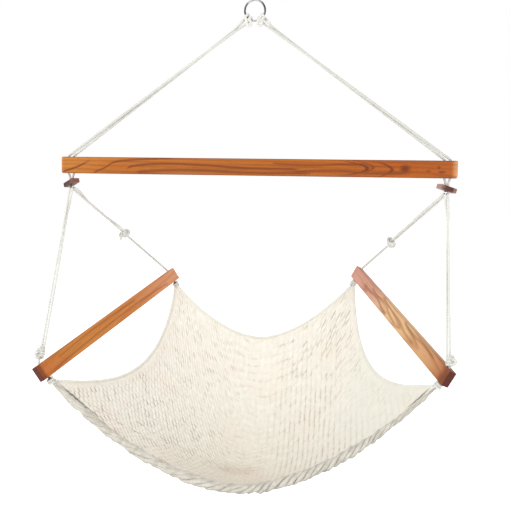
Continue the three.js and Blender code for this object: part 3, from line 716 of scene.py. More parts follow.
def ring_object():
    """The welded ring, drawn a little thinner where its weld is."""
    verts, uvs = [], []
    around, about = 96, 20
    thick = RING_WIRE / 2 * RING_WORN
    for i in range(around):
        a = TAU * i / around
        weld = math.exp(-(math.sin((a - WELD_ANGLE) / 2) / WELD_WIDTH)**2)
        for k in range(about):
            b = TAU * k / about
            r = RING_R + thick * math.cos(b) * (1 - WELD_PINCH * weld)
            aside = thick * math.sin(b) * (1 - WELD_PINCH * weld)
            verts.append(vec(r * math.cos(a), aside, RING_Z + r * math.sin(a)))
            uvs.append((i / around, k / about))
    obj = make_object("steel_ring", verts, tube_faces(around, about, closed=True), steel, uvs, "ring")
    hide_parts("hanging_ring")


ring_object()

# ---- Hitches
WRAP = RING_WIRE / 2 + ROPE_R + 2 * GAP
# The folded-over bight hangs in front of the legs: points along X, Y and Z from the wire's front, outwards in X
BIGHT_FALL = [(2.0, 0.0, -8.0), (1.6, -0.4, -14.5), (-3.2, -1.0, -21.5), (-8.6, -0.4, -17.5),
              (-8.0, 0.0, -9.0)]
BIGHT = WRAP + 0.6 * ROPE_R


def hitch_axes(side):
    out = vec(side * math.cos(HITCH_ANGLE), 0, -math.sin(HITCH_ANGLE))
    along = vec(side * math.sin(HITCH_ANGLE), 0, math.cos(HITCH_ANGLE))
    return out, along, vec(0, 0, RING_Z) + out * RING_R


def hitch_point(side, t, r, y):
    out, along, centre = hitch_axes(side)
    return centre + along * t + out * r + vec(0, y, 0)


SWING_Z = hitch_point(1, 0, WRAP + HITCH_LEG, 0)[2]


def hitch_exit(side, strand):
    near = hitch_point(side, strand * HITCH_SPREAD / 2, WRAP, 0)
    out = hitch_axes(side)[0]
    return near + out * ((SWING_Z - near[2]) / out[2])


def hitch_half(side, strand):
    def at(r, y):
        return hitch_point(side, strand * HITCH_OPEN / 2, r, y)

    def turn(angle):
        return at(WRAP * math.cos(angle * DEG), WRAP * math.sin(angle * DEG))
    start = hitch_exit(side, strand) - hitch_axes(side)[0] * (ROPE_R + GAP)
    return [start, at(BIGHT + 1.6 * ROPE_R, 0.25 * WRAP), at(BIGHT + 0.4 * ROPE_R, 0.7 * WRAP),
            *[turn(a) for a in range(58, 267, 26)], at(0.35 * BIGHT, -1.05 * WRAP)]


for side, name in SIDES:
    folded = hitch_axes(side)[2] + vec(0, -1.22 * WRAP, 0)
    bight = [folded + vec(side * x, y, z) for x, y, z in BIGHT_FALL]
    points = [*hitch_half(side, 1), *bight, *reversed(hitch_half(side, -1))]
    rope(f"laid_hitch_{name}", f"ring_hitch_{name}", points, "ring", cotton_rope, radius=HITCH_ROPE_R,
         step=KNOT_STEP)

# ---- Hanger legs
# How the two legs of a side cross: steps, the power of the crossing and the least distance between them
LEG_STEPS, LEG_CROSS, LEG_APART, LEG_OPEN = 28, 0.63, 1.06 * PITCH, 0.09


def lip_bend(side, bore_x, slope):
    middle = vec(bore_x - side * BORE_R, 0, BAR_TOP)
    out = []
    for share in (1, 0.75, 0.5, 0.25, 0):
        angle = share * (math.pi / 2 - slope)
        out.append(middle + vec(side * BORE_R * math.cos(angle), 0, BORE_R * math.sin(angle)))
    return out


def leg_points(side, strand):
    bores = [side * BORE_OUT, side * BORE_IN]
    starts = [hitch_exit(side, -1), hitch_exit(side, 1)]
    slope = math.atan2(SWING_Z - BAR_TOP, BORE_IN - abs(starts[1][0]))
    ends = [lip_bend(side, bore, slope)[0] for bore in bores]
    begin, finish = (starts[0] + starts[1]) / 2, (ends[0] + ends[1]) / 2
    own = (strand + 1) // 2
    across = vec(side * math.sin(slope), 0, math.cos(slope))
    points = [starts[own]]
    for i in range(1, LEG_STEPS):
        share = i / LEG_STEPS
        lateral = share ** LEG_CROSS
        offset = (starts[own] - begin) * (1 - lateral) + (ends[own] - finish) * lateral
        apart = 2 * offset @ across
        aside = math.sqrt(max(0, LEG_APART**2 - apart**2)) / 2
        points.append(begin + (finish - begin) * share + offset + vec(0, strand * aside, 0))
    keeper = side * (TOG_X - strand * PITCH / 2)
    return points + lip_bend(side, bores[own], slope) + [
        vec(bores[own], 0, BAR_Z), vec(bores[own], 0, BAR_Z - BAR_H / 2),
        vec(keeper, 0, 2 * TOG_Z - TILT_Z), vec(keeper, 0, TOG_Z), vec(keeper, 0, TILT_Z + ROPE_R + TILT_ROOM)]


def leg_size(share):
    """A leg's lay is a little open down to the bar, and drawn tight in the bores."""
    return ROPE_R * (1 + LEG_OPEN * eased(share, 0.03, 0.06) * (1 - eased(share, 0.84, 0.88)))


def block_mouth(side):
    """Just under a block, where the ropes are painted darker."""
    return vec(side * TOG_X, 0, TOG_Z - TOG_H / 2 - 1)


for side, name in SIDES:
    for strand, place in ((-1, "outer"), (1, "inner")):
        obj, path = rope(
            f"laid_leg_{place}_{name}", f"hanger_leg_{place}_{name}", leg_points(side, strand), "hanger",
            cotton_leg, dome=(0.9, 0.1), radius_at=leg_size, phase=strand,
            stains=[block_mouth(-1), block_mouth(1)])


# ---- Boards
BOARD_CUTS, BEVEL_SEGMENTS, BORE_SIDES = 24, 4, 32
SHARP = 32 * DEG  # the least angle of an edge that isn't shaded smooth
# Rows of a bore's cutter: shares of half the board's height, and how much wider than the bore each is
LIPPED_BORE = [(-1.3, 0.9), (-1.02, 0.9), (-0.955, 0.0), (0.955, 0.0), (1.02, 0.9), (1.3, 0.9)]
PLAIN_BORE = [(-2.5, 0.0), (2.5, 0.0)]


def closed_tube(name, points, sides):
    """An object of rows of points round a tube, with flat ends."""
    rows = len(points) // sides
    ends = [tuple(reversed(range(sides))), tuple(range((rows - 1) * sides, rows * sides))]
    mesh = bpy.data.meshes.new(name)
    mesh.from_pydata(points, [], tube_faces(rows, sides) + ends)
    mesh.validate()
    return linked(name, mesh)


def bore_cutter(x, radius, height, lean):
    """A tube that cuts a bore along a board's height at x, with lips where it doesn't lean."""
    points = []
    for share, lip in PLAIN_BORE if lean else LIPPED_BORE:
        for k in range(BORE_SIDES):
            a = TAU * k / BORE_SIDES
            cx, cz = (radius + lip) * math.cos(a), share * height / 2
            points.append(((x + cx * math.cos(lean) - cz * math.sin(lean)) * MM,
                           (radius + lip) * math.sin(a) * MM,
                           (cx * math.sin(lean) + cz * math.cos(lean)) * MM))
    return closed_tube("cutter", points, BORE_SIDES)


def board(
        name, size, edge, bores, matrix, material, body, replaced, lean=0.0, long_edge=1.0,
        end_edge=0.35):
    """A board with rounded edges and bores along its height, made along X and then placed. The bores may lean.

    size is its length, thickness and height. long_edge and end_edge are the shares of the rounding that
    the long edges and the ends have.
    """
    length, thick, height = size
    xs = [length * (i / BOARD_CUTS - 0.5) * MM for i in range(BOARD_CUTS + 1)]
    section = [(y * thick / 2 * MM, z * height / 2 * MM) for y, z in SQUARE]
    obj = closed_tube(name, [(x, *corner) for x in xs for corner in section], len(section))
    mesh = obj.data
    weights = mesh.attributes.new("bevel_weight_edge", "FLOAT", "EDGE")
    for e in mesh.edges:
        a, b = (mesh.vertices[i].co for i in e.vertices)
        if abs(a.x - b.x) > TINY:
            weights.data[e.index].value = long_edge
        elif abs(abs(a.x) - length / 2 * MM) < TINY:
            weights.data[e.index].value = end_edge
    bevel = obj.modifiers.new("edge", "BEVEL")
    bevel.limit_method = "WEIGHT"
    bevel.width = edge * MM
    bevel.segments = BEVEL_SEGMENTS
    cutters = [bore_cutter(x, radius, height, lean) for x, radius in bores]
    for cutter in cutters:
        modifier = obj.modifiers.new("bore", "BOOLEAN")
        modifier.object = cutter
        modifier.operation = "DIFFERENCE"
        modifier.solver = "EXACT"
    bpy.context.view_layer.update()
    final = bpy.data.meshes.new_from_object(obj.evaluated_get(bpy.context.evaluated_depsgraph_get()))
    obj.modifiers.clear()
    obj.data = final
    for cutter in cutters:
        bpy.data.objects.remove(cutter)
    final.materials.clear()
    final.materials.append(material)
    final.shade_smooth()
    final.set_sharp_from_angle(angle=SHARP)
    obj.matrix_world = matrix
    bpy.context.view_layer.update()
    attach(obj, body)
    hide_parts(replaced)


def placed(origin, x_axis, z_axis):
    y_axis = np.cross(z_axis, x_axis)
    m = Matrix.Identity(4)
    for row in range(3):
        for column, axis in enumerate((x_axis, y_axis, z_axis)):
            m[row][column] = axis[row]
        m[row][3] = origin[row] * MM
    return m


board("bar_board", BAR_SIZE, BAR_END_EDGE, [(s * x, BORE_R) for s in (-1, 1) for x in (BORE_OUT, BORE_IN)],
      placed(vec(0, 0, BAR_Z), vec(1, 0, 0), vec(0, 0, 1)), bar_wood, "hanger", "spreader_bar",
      long_edge=BAR_EDGE / BAR_END_EDGE, end_edge=1.0)
for side, name in SIDES:
    turn, tilt = TOG_TURN[side], side * TOG_TILT[side]
    x_axis = vec(math.cos(tilt) * math.cos(turn), math.cos(tilt) * math.sin(turn), -math.sin(tilt))
    z_axis = vec(math.sin(tilt) * math.cos(turn), math.sin(tilt) * math.sin(turn), math.cos(tilt))
    board(f"block_{name}", (TOG_L, TOG_W, TOG_SHOWN_H), TOG_EDGE, [(0, TOG_BORE_R)],
          placed(vec(side * TOG_X, 0, TOG_Z), x_axis, z_axis), block_wood[side], f"toggle_{name}",
          f"toggle_{name}", lean=tilt)
    front, back, along, height = arm_axes(side)
    origin, zero = hang((front + back) / 2), hang(vec(0, 0, 0))
    ends = ARM_L / 2 - ARM_INSET
    board(f"arm_board_{name}", ARM_SIZE, ARM_EDGE, [(ends, ARM_BORE_R), (-ends, ARM_BORE_R)],
          placed(origin, hang(along) - zero, hang(height) - zero), arm_wood[side], f"arm_{name}",
          f"arm_{name}")


# ---- Seat ropes and knots
# Millimetres between points of a straight piece, points of a turn, and the share of a wrap before it slants
RUN_STEP, TURN_POINTS, WRAP_LATE = 18, 12, 0.25


def run(a, b):
    """Points along a straight piece of rope."""
    count = max(1, round(np.linalg.norm(b - a) / RUN_STEP))
    return [a + (b - a) * i / count for i in range(count + 1)]


def knot_points(centre, axis, toward, tail, wrap=0.0, turns=KNOT_TURNS):
    """Turns of a coil round the rope, and for a big knot a slanting wrap over them, then the loose end.

    The coil starts toward the given direction. turns and wrap are numbers of turns, and tail is the loose
    end's points, measured from the last one of the coil.
    """
    outward = unit(toward - axis * (toward @ axis))
    across = np.cross(axis, outward)

    def at(share, radius, rise):
        angle = TAU * share
        return centre + outward * radius * math.cos(angle) + across * radius * math.sin(angle) + axis * rise
    half = turns / 2 * PITCH
    points = [at(i / TURN_POINTS, PITCH, half - PITCH * i / TURN_POINTS)
              for i in range(turns * TURN_POINTS + 1)]
    count = round(wrap * TURN_POINTS)
    for i in range(1, count + 1):
        radius = PITCH + (WRAP_COIL - PITCH) * min(1, 3 * i / TURN_POINTS)
        rise = half * (2 * max(0, i / count - WRAP_LATE) / (1 - WRAP_LATE) - 1)
        points.append(at(i / TURN_POINTS, radius, rise))
    return points + [points[-1] + vec(*step) for step in tail]


def doubling_strand(upper, lower, beside, turn, power):
    """A strand beside the main one, which may turn behind it and back on its way down."""
    behind = np.cross(beside, unit(lower - upper))
    behind *= np.sign(behind[1])
    length = np.linalg.norm(lower - upper)
    points = []
    for p in run(upper, lower):
        far = np.linalg.norm(p - upper)
        angle = turn * min(1, far / RETURN_TURN_LENGTH) * (1 - (far / length)**power)
        points.append(p + beside * math.cos(angle) + behind * math.sin(angle))
    return points


def single_share(share, begin, end):
    """1 where a rope runs single, with an open lay, from begin to end, and 0 elsewhere."""
    return eased(share, begin, begin + 0.01) * (1 - eased(share, end - 0.01, end))


def seat_rope(name, replaced, points, material, **looks):
    """A rope of the seat, along points measured from the bar's middle."""
    return rope(name, replaced, hang(points), "seat", material, **looks)


CORNER_END = [(0, -1.2, 0), (0, -2.4, 0), (0, -3.4, 0)]
OPEN_LAY, MAIN_SHADE = 0.2, 0.05
for side, name in SIDES:
    height = arm_axes(side)[3]
    for end in ("front", "back"):
        ahead = (-1 if end == "front" else 1) * PITCH / 2
        start = unhang(vec(side * (TOG_X + PITCH / 2), ahead, TILT_Z))
        top = along_bore(side, end, ARM_H / 2)
        mouth = along_bore(side, end, ARM_H / 2 + MOUTH)
        length = np.linalg.norm(mouth - start)
        share = 1 - FRONT_KNOT_RISE[side] / length if end == "front" else BACK_KNOT_SHARE[side]
        centre = start + (mouth - start) * share
        axis = unit(start - mouth)
        points = [*run(start, mouth + axis * MOUTH), mouth, top, *run(top, along_bore(side, end, -ARM_H / 2)),
                  along_bore(side, end, CORNER_RISE - KNOT_HALF)]
        mouths = [hang(along_bore(side, end, -ARM_H / 2 - 2)), block_mouth(side)]
        whole = path_length(np.array(points))
        open_lay = (share * length / whole, (length - 4) / whole) if end == "back" else (1, 1)
        obj, path = seat_rope(
            f"laid_{end}_rope_{name}", f"{end}_rope_{name}", points,
            cotton_back if end == "back" else cotton_front, dome=(0.9, 0.1),
            radius_at=lambda at: ROPE_R * (1 + OPEN_LAY * single_share(at, *open_lay)),
            dark_at=lambda at: MAIN_SHADE + single_share(at, *open_lay), stains=mouths)
        inside = vec(-side, 0, 0)
        beside = unit(inside - axis * (inside @ axis)) * PITCH
        upper = start - axis * RETURN_DROP[end]
        lower = centre + axis * (KNOT_HALF - KNOT_ROPE_R)
        turn, power = RETURN_TURN.get((end, side), (0.0, 1))
        strand = doubling_strand(upper, lower, beside, turn, power)
        obj, path = seat_rope(
            f"laid_{end}_return_{name}", f"{end}_rope_return_{name}", strand,
            cotton_rope if (end, side) == ("back", 1) else cotton_front, phase=1.3, stains=[block_mouth(side)])
        wrap, turns = (KNOT_WRAP, KNOT_TURNS) if end == "back" else (0.0, FRONT_TURNS[side])
        coil = knot_points(centre, axis, vec(0, -1, 0), KNOT_END[end, side], wrap, turns)
        seat_rope(f"laid_{end}_knot_{name}", f"{end}_knot_{name}", coil, cotton_rope, radius=KNOT_ROPE_R,
                  step=KNOT_STEP, dome=(0.1, 0.4))
        coil = knot_points(corner(side, end), height, vec(-side, 0, 0), CORNER_END)
        seat_rope(f"laid_corner_knot_{end}_{name}", f"corner_knot_{end}_{name}", coil, cotton_rope,
                  radius=CORNER_ROPE_R, step=KNOT_STEP, stains=[hang(along_bore(side, end, -ARM_H / 2 - 1))],
                  stain_reach=3.0)


# ---- Woven bed
BC, FC = corner(1, "back"), corner(1, "front")


def hung_edge(u, corner_at, pull, drop):
    """An edge that hangs in a curve between two corners: pulled in and sunk most in its middle."""
    sag = 1 - np.abs(u)**CURVE_POWER
    return np.stack([u * corner_at[0], corner_at[1] - pull * sag, corner_at[2] - drop * sag], -1)


def back_edge(u):
    return hung_edge(u, BC, BACK_PULL, BACK_SAG)


def front_edge(u):
    return hung_edge(u, FC, FRONT_PULL, FRONT_SAG)


def side_edge(side, v):
    sag = 4 * v * (1 - v)
    pull = SIDE_PULL * sag * (1 + PULL_SKEW * (0.5 - v))
    drop = SIDE_SAG * sag * (1 + SIDE_SKEW * (0.5 - v))
    p = BC + (FC - BC) * v[..., None] - np.stack([pull, SIDE_REACH * sag, drop], -1)
    return mirrored(side, p)


def cloth_point(u, v):
    """The bed's middle surface: ruled between its edges, and hollowed. u runs to the right, v to the front."""
    share, w = ((u + 1) / 2)[..., None], v[..., None]
    ruled = back_edge(u) * (1 - w) + front_edge(u) * w
    sides = side_edge(-1, v) * (1 - share) + side_edge(1, v) * share
    one = np.ones_like(u)
    flat = (back_edge(-one) * (1 - share) + back_edge(one) * share) * (1 - w) + (
        front_edge(-one) * (1 - share) + front_edge(one) * share) * w
    hollow = HOLLOW * (1 - u**2)**2 * np.sin(math.pi * v)**2
    return ruled + sides - flat - hollow[..., None] * vec(0, 0, 1)


def cloth_slopes(u, v):
    step = 0.001
    du = (cloth_point(u + step, v) - cloth_point(u - step, v)) / (2 * step)
    dv = (cloth_point(u, v + step) - cloth_point(u, v - step)) / (2 * step)
    return du, dv, np.cross(du, dv)


def size_of(a):
    return np.linalg.norm(a, axis=-1)


def bundle_radius(u):
    """The front bundle's radius: thick in its middle, and thinner on its right part than on its left one."""
    thick = BUNDLE_END_D + (BUNDLE_D - BUNDLE_END_D) * (1 - np.abs(u)**BUNDLE_POWER)
    return thick / 2 * (1 - 0.3 * eased(u, 0.52, 0.8))


def cloth_grid(a, b):
    """The places on the bed that shares of its cloth have: from cord to cord, and from cord to bundle."""
    inset = CORD_D / 2 - SEWN_IN
    du, dv, normal = cloth_slopes(a * CORNER_SHARE, b * CORNER_SHARE + (1 - CORNER_SHARE) / 2)
    u = a * (1 - inset * size_of(dv) / size_of(normal))
    edge = u * CORNER_SHARE
    du, dv, normal = cloth_slopes(edge, np.zeros_like(edge))
    low = inset * size_of(du) / size_of(normal)
    du, dv, normal = cloth_slopes(edge, np.ones_like(edge))
    share = np.clip((np.abs(u) - SLIT_START) / (1 - SLIT_START), 0, 1)
    slit = SLIT_SHUT * SLIT_W * np.sin(math.pi * share)
    high = 1 - (bundle_radius(u) - SEWN_IN + slit) * size_of(du) / size_of(normal)
    return u, low + (high - low) * b


# The weave: packed weft stitches in warp columns. A stitch slants within its column, one way on each half
# of the bed. On the left the columns fan out with the cloth, and on the right they run straight to the front.
WARPS, WEFTS, PER_CELL, PICK_ROW = 66, 40, 7, 40
STITCH_SLANT, STITCH_RISE, STITCH_UNDER, FIRM = 0.66, 2.6, 2.6, 0.6
# Tucks in the cloth: where each starts and ends across and along the bed, its depth and its half width
TUCKS = [(-0.995, 0.972, -0.77, 0.950, 3.2, 0.009), (-0.93, 0.952, -0.775, 0.90, 1.6, 0.008),
         (-0.89, 0.93, -0.74, 0.82, 1.5, 0.008), (-0.78, 0.885, -0.56, 0.76, 1.7, 0.010),
         (-0.80, 0.755, -0.51, 0.67, 1.5, 0.010), (-0.80, 0.67, -0.66, 0.59, 1.2, 0.009),
         (-0.60, 0.68, -0.38, 0.60, 1.3, 0.010), (0.87, 0.965, 0.995, 0.965, 3.2, 0.009)]
# The depth from which a tuck runs unbroken, that of the darkest mark, how far the outer face follows a
# tuck, and half the cloth's thickness where it is thinnest
TUCK_WHOLE, TUCK_FULL, TUCK_BELOW, HALF_THIN = 3, 3.4, 0.35, 0.6


def straight_share(u):
    """From 0 on the left, where the columns fan out, to 1 on the right, where they run straight."""
    return eased(u, -0.12, 0.25)


def ribbing(u, v):
    """How far the columns stand out as ribs."""
    return straight_share(u) * (0.35 + 0.65 * eased(v, 0.03, 0.3)) * (1 - 0.8 * eased(u, 0.55, 0.9))


def pattern_place(u, v, point):
    """Warp and weft counts that the weave has at a place on the cloth."""
    fanned = (u + 1) / 2
    straight = 0.5 + point[..., 0] / (2 * FC[0])
    w = straight_share(u)
    s = WARPS * (fanned * (1 - w) + straight * w) + 0.35 * (rough_table(u * 7 + 60, v * 5 + 11) - 0.5)
    t = WEFTS * v + 1.1 * rough_table(s / 5 + 31, v * 4 + 7)
    return s, t


def stitch_height(s, t, u, v):
    """Height of the stitches over the cloth's middle, from 0 to 1."""
    slant = STITCH_SLANT * np.clip((2 * s / WARPS - 1) * 2.5, -1, 1)
    within = s - np.floor(s) - 0.5
    count = t + slant * within
    part = count - np.floor(count) - 0.5
    ribbed = ribbing(u, v)
    row = (0.5 + 0.5 * np.cos(TAU * part))**0.55
    column = 1 - (0.25 + 0.65 * ribbed) * np.abs(2 * within)**3
    pick = random_table[np.floor(s).astype(int) % TABLE, (np.floor(count).astype(int) + PICK_ROW) % TABLE]
    return (0.12 + 0.88 * row**(1 - 0.35 * ribbed)) * column * (0.82 + 0.36 * pick)


def tuck_depths(u, v):
    """How deep the tucks are at each place. Shallow tucks come and go along their line."""
    deep = np.zeros_like(u)
    for u0, v0, u1, v1, depth, half in TUCKS:
        share = np.clip((u - u0) / (u1 - u0), 0, 1)
        line = v0 + (v1 - v0) * share + 0.004 * (rough_table(u * 25, v * 0 + v0 * 90) - 0.5)
        swell = np.sin(math.pi * share)**0.5
        if depth < TUCK_WHOLE:
            swell *= 0.1 + 1.0 * eased(rough_table(u * 45 + v0 * 31, v * 0 + v0 * 90), 0.3, 0.7)
        deep = np.maximum(deep, depth * swell * np.exp(-((v - line) / half)**2))
    return deep


def woven_cloth():
    """The bed as one closed sheet with stitches on both faces; returns it and its middle surface."""
    ns, nt = WARPS * PER_CELL, WEFTS * PER_CELL
    a, b = np.meshgrid(np.linspace(-1, 1, ns + 1), np.linspace(0, 1, nt + 1))
    u, v = cloth_grid(a, b)
    base = cloth_point(u, v)
    normal = cloth_slopes(u, v)[2]
    normal /= size_of(normal)[..., None]
    s, t = pattern_place(u, v, base)
    tall = stitch_height(s, t, u, v)
    side_rim = (1 - np.abs(a)) * WARPS / 2
    end_rim = np.minimum(b, 1 - b) * WEFTS
    selvage = eased(side_rim, 0.3, 1.6)
    tall = FIRM + (tall - FIRM) * selvage
    close = 0.45 + 0.55 * np.clip(np.minimum(side_rim, end_rim) / 0.5, 0, 1)
    swell = 1.4 * (rough_table(u * 9 + 3, v * 7 + 50) - 0.5)
    deep = tuck_depths(u, v)
    out = STITCH_RISE * tall * close + swell + TUCK_BELOW * deep + HALF_THIN
    into = np.minimum(-STITCH_UNDER * tall * close + swell + deep - HALF_THIN, out - HALF_THIN / 2)
    outer = hang(base + normal * out[..., None]).reshape(-1, 3)
    inner = hang(base + normal * into[..., None]).reshape(-1, 3)
    index = np.arange(base[..., 0].size).reshape(nt + 1, ns + 1)
    a, b, c, d = index[:-1, :-1], index[:-1, 1:], index[1:, 1:], index[1:, :-1]
    n = index.size
    faces = np.concatenate([
        np.stack([a, b, c, d], -1).reshape(-1, 4),
        np.stack([a + n, d + n, c + n, b + n], -1).reshape(-1, 4),
        np.stack([index[0, :-1] + n, index[0, 1:] + n, index[0, 1:], index[0, :-1]], -1),
        np.stack([index[-1, :-1], index[-1, 1:], index[-1, 1:] + n, index[-1, :-1] + n], -1),
        np.stack([index[:-1, 0], index[1:, 0], index[1:, 0] + n, index[:-1, 0] + n], -1),
        np.stack([index[:-1, -1] + n, index[1:, -1] + n, index[1:, -1], index[:-1, -1]], -1),
    ])
    uv = np.stack([s.ravel(), t.ravel()], 1)
    obj = make_object("woven_cloth", np.concatenate([outer, inner]), [tuple(f) for f in faces.tolist()],
                      weave_material(), np.concatenate([uv, uv]), "seat")
    loose = selvage * (1 - 0.5 * eased(u, 0.5, 0.8) * eased(v, 0.25, 0.5))
    loose *= 0.45 + 0.55 * eased(-u, 0.05, 0.55) + 0.55 * eased(u, 0.1, 0.35)
    loose *= 1 - 0.38 * (1 - eased(v, 0.3, 0.6)) * eased(-u, -0.1, 0.1)
    # a patch of painted shade in the hollow behind the front bundle, which also deepens the painted shade in
    # the gaps
    shade_patch = np.exp(-((u + 0.11) / 0.17)**2 - ((v - 0.59 + 0.2 * (u + 0.11)) / 0.06)**2)
    loose = np.maximum(loose, 1.3 * shade_patch)
    # painted shade, deepest in the bed's middle toward the front
    low = eased(v, 0.1, 0.95) * (0.12 + 0.88 * np.exp(-((u + 0.05) / 0.42)**2))
    # how deep the tucks are, for the painted shade in their creases
    marks = np.clip(deep / TUCK_FULL, 0, 1)
    # the painted shade patch and the tucks' painted shade show on the inner face only
    both, inner_only = {"ribbed": ribbing(u, v), "loose": loose, "low": low}, {"shade_patch": shade_patch, "tuck": marks}
    for key, values in (both | inner_only).items():
        set_values(obj, key, np.concatenate([(key in both) * values.ravel(), values.ravel()]))
    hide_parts("woven_bed")
    return obj, hang(base)


BED_LIGHT, BED_SHADE, BED_WARM = srgb(242, 239, 230), srgb(232, 228, 217), srgb(240, 229, 217)
BED_COOL, BED_SHADOW, BED_SHADE_PATCH = srgb(230, 231, 219), srgb(228, 224, 219), srgb(198, 176, 158)
BED_GAP_SHADE, BED_CREASE_SHADE = srgb(150, 136, 110), srgb(112, 105, 92)


def weave_material():
    """The bed's cotton, with painted shade in the gaps at the same stitches as the cloth's mesh has."""
    n = Nodes("woven_cotton")
    uv = n.uv_map()
    s, t, _ = n.split(uv)
    position = n.place("Object")
    ribbed, loose, low, shade_patch, tuck = (n.attribute(key) for key in ("ribbed", "loose", "low", "shade_patch", "tuck"))
    column = n.whole(s)
    within = n.minus(n.minus(s, column), 0.5)
    side = n.most(n.least(n.fused(s, 5.0 / WARPS, -2.5), 1.0), -1.0)
    count = n.plus(t, n.times(n.times(side, STITCH_SLANT), within))
    row = n.whole(count)
    part = n.size(n.minus(n.minus(count, row), 0.5))
    stitch = n.feed_all(n.add("ShaderNodeCombineXYZ"), X=column, Y=n.nearest(count)).outputs[0]
    chance = n.add("ShaderNodeTexWhiteNoise", noise_dimensions="2D")
    chance = n.feed_all(chance, Vector=stitch).outputs["Value"]
    fine = n.noise(position, 1300, 3)
    fuzz = n.noise(position, 380, 4, 0.7)
    soft = n.noise(position, 9, 3)
    patches = n.noise(position, 34, 3)
    cord = n.noise(uv, 0.9, 2)
    tone = n.plus(n.times(fuzz, 0.45), n.times(cord, 0.55))
    colour = n.mix(n.step(tone, 0.36, 0.64), BED_SHADE, BED_LIGHT)
    colour = n.mix(n.step(soft, 0.45, 0.7, 0.0, 0.5), colour, BED_WARM)
    x = n.split(position)[0]
    colour = n.mix(n.step(x, 0.12, 0.40, 0.0, 0.6), colour, BED_COOL)
    # painted shade in the little gaps between stitches, stronger at some than at others, and between the
    # columns
    gap = n.times(n.step(part, 0.30, 0.47), n.step(chance, 0.15, 0.98, 0.1, 1.0))
    beside = n.size(within)
    gap = n.times(gap, n.minus(1.0, n.times(ribbed, n.step(beside, 0.05, 0.5, 0.92, 0.35))))
    rib = n.times(n.step(beside, 0.30, 0.49), n.fused(ribbed, 0.50, 0.05))
    rib = n.times(rib, n.step(chance, 0.1, 0.9, 0.45, 1.25))
    gap = n.times(n.most(gap, rib), loose)
    gap = n.times(gap, n.step(patches, 0.36, 0.62, 0.2, 1.25))
    colour = n.mix(n.times(gap, 0.62), colour, BED_GAP_SHADE)
    colour = n.mix(low, colour, BED_SHADOW, "MULTIPLY")
    # the painted shade patch
    colour = n.mix(n.times(shade_patch, n.step(fuzz, 0.4, 0.6, 0.1, 0.6)), colour, BED_SHADE_PATCH)
    # painted shade in the tucks' creases
    colour = n.mix(n.step(tuck, 0.12, 0.95), colour, BED_CREASE_SHADE)
    height = n.minus(n.times(fine, 0.9), n.times(gap, 1.5))
    normal = n.bump(height, 0.0006, 0.8)
    return n.finish(colour, n.step(fuzz, 0.2, 0.8, 0.84, 0.96), Normal=normal, Sheen_Weight=0.2,
                    Sheen_Roughness=0.5, Specular_IOR_Level=0.2)


cloth, middle = woven_cloth()

# ---- Border cords
BUNDLE_POINTS, CORD_POINTS, CORD_LAY = 181, 121, 30.0


def clear_of_knots(points, knots):
    """The part of a path that keeps out of the corner knots' room."""
    room = PITCH + ROPE_R + GAP
    return np.array([p for p in points if all(np.linalg.norm(p - k) > room for k in knots)])


def end_path(edge, end, at, count):
    """The back or the front edge, from knot to knot."""
    span = 1 - CORNER_REACH / np.linalg.norm(at)
    return clear_of_knots(edge(np.linspace(-span, span, count)), [corner(-1, end), corner(1, end)])


bundle_path = end_path(front_edge, "front", FC, BUNDLE_POINTS)
span = bundle_path[-1][0] / FC[0]


def bundle_size(share):
    """The bundle's radius along its length, drawn in where it meets the knots."""
    drawn = 0.55 + 0.45 * eased(np.minimum(share, 1 - share), 0.0, 0.035)
    return bundle_radius(span * (2 * share - 1)) * drawn


def bundle_pace(share):
    """How slowly the bundle turns: long turns on the left, short and uneven ones on the right."""
    return (1.7 - 0.9 * eased(share, 0.25, 0.6)) * (0.7 + 0.6 * rough_table(share * 34, share * 0 + 71))


def bundle_shade(share):
    """How strong the painted shade in the bundle's grooves is: least on the left, and uneven."""
    return (0.1 + 0.9 * eased(share, 0.3, 0.55)) * (0.45 + 0.8 * rough_table(share * 60, share * 0 + 83))


def bundle_relief(share):
    return 0.35 + 0.4 * eased(share, 0.3, 0.55)


hems = [seat_rope(
    "twisted_bundle", "front_bundle", bundle_path, cotton_bundle, radius=BUNDLE_D / 2, strands=4, lay=100.0,
    hand=-1, step=1.6, per_strand=14, radius_at=bundle_size, lay_at=bundle_pace, dark_at=bundle_shade,
    uneven=0.22, relief_at=bundle_relief, stains=None)[0]]
cords = [("back_edge", "back_edge_cord", end_path(back_edge, "back", BC, CORD_POINTS))]
for side, name in SIDES:
    points = side_edge(side, np.linspace(SIDE_START, 1 - SIDE_START, CORD_POINTS))
    points = clear_of_knots(points, [corner(side, "back"), corner(side, "front")])
    cords.append((f"side_edge_{name}", f"side_edge_cord_{name}", points))
for name, replaced, points in cords:
    hems.append(seat_rope(f"laid_{name}", replaced, points, cotton_edge, radius=CORD_D / 2, lay=CORD_LAY)[0])

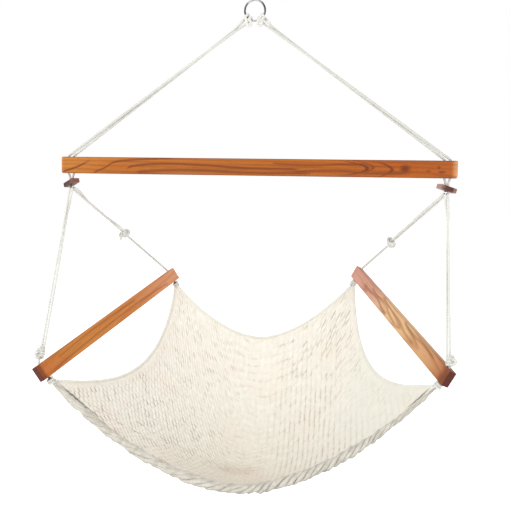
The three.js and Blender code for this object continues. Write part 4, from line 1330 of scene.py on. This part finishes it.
# ---- Studio
def area_light(name, place, size, power, colour):
    data = bpy.data.lights.new(name, "AREA")
    data.shape = "RECTANGLE"
    data.size, data.size_y = size
    data.energy, data.color = power, colour
    light = linked(name, data)
    light.location = place
    light.rotation_euler = (Vector(LIGHTS_AIM) - Vector(place)).to_track_quat("-Z", "Y").to_euler()


LIGHTS_AIM = (0, 0, -0.7)
area_light("key", (-1.6, -2.2, 1.4), (1.8, 1.8), 46, (1, 0.99, 0.975))
area_light("fill", (2.2, -1.8, 0.2), (1.6, 2.0), 10, (1, 0.985, 0.97))

world = bpy.data.worlds.new("studio")
bpy.context.scene.world = world
world.use_nodes = True
tree = world.node_tree
tree.nodes.clear()
out = tree.nodes.new("ShaderNodeOutputWorld")
mix = tree.nodes.new("ShaderNodeMixShader")
tree.links.new(tree.nodes.new("ShaderNodeLightPath").outputs["Is Camera Ray"], mix.inputs[0])
tree.links.new(mix.outputs[0], out.inputs[0])
# what lights the chair, and what the camera sees behind it
for slot, colour, strength in ((1, (1, 1, 0.992, 1), 0.80), (2, (1, 1, 1, 1), 1.0)):
    background = tree.nodes.new("ShaderNodeBackground")
    background.inputs[0].default_value, background.inputs[1].default_value = colour, strength
    tree.links.new(background.outputs[0], mix.inputs[slot])

# The floor glows so that it reads white far off, and lights the chair from below. A painted shadow pool lies
# under the chair: darker and glowing less nearer the middle.
FLOOR_Z, FLOOR_REACH, SHADOW_POOL_IN, SHADOW_POOL_OUT = -1.7, 30, 0.35, 0.85
n = Nodes("pale_floor")
x, y, _ = n.split(n.place("Object"))
spot = n.length(x, y)
glow = n.step(spot, SHADOW_POOL_IN, SHADOW_POOL_OUT, 0.05, 0.7)
tone = n.mix(n.step(spot, SHADOW_POOL_IN, SHADOW_POOL_OUT), (0.35, 0.35, 0.35, 1), (0.9, 0.9, 0.9, 1))
n.finish(tone, 0.9, Emission_Strength=glow, Emission_Color=(1, 1, 1, 1))
floor_mesh = bpy.data.meshes.new("floor")
floor_corners = [(x * FLOOR_REACH, y * FLOOR_REACH, FLOOR_Z) for x, y in SQUARE]
floor_mesh.from_pydata(floor_corners, [], [(0, 1, 2, 3)])
floor_mesh.materials.append(n.material)
linked("floor", floor_mesh)
bpy.context.scene.view_settings.view_transform = "Standard"
bpy.context.scene.view_settings.look = "None"
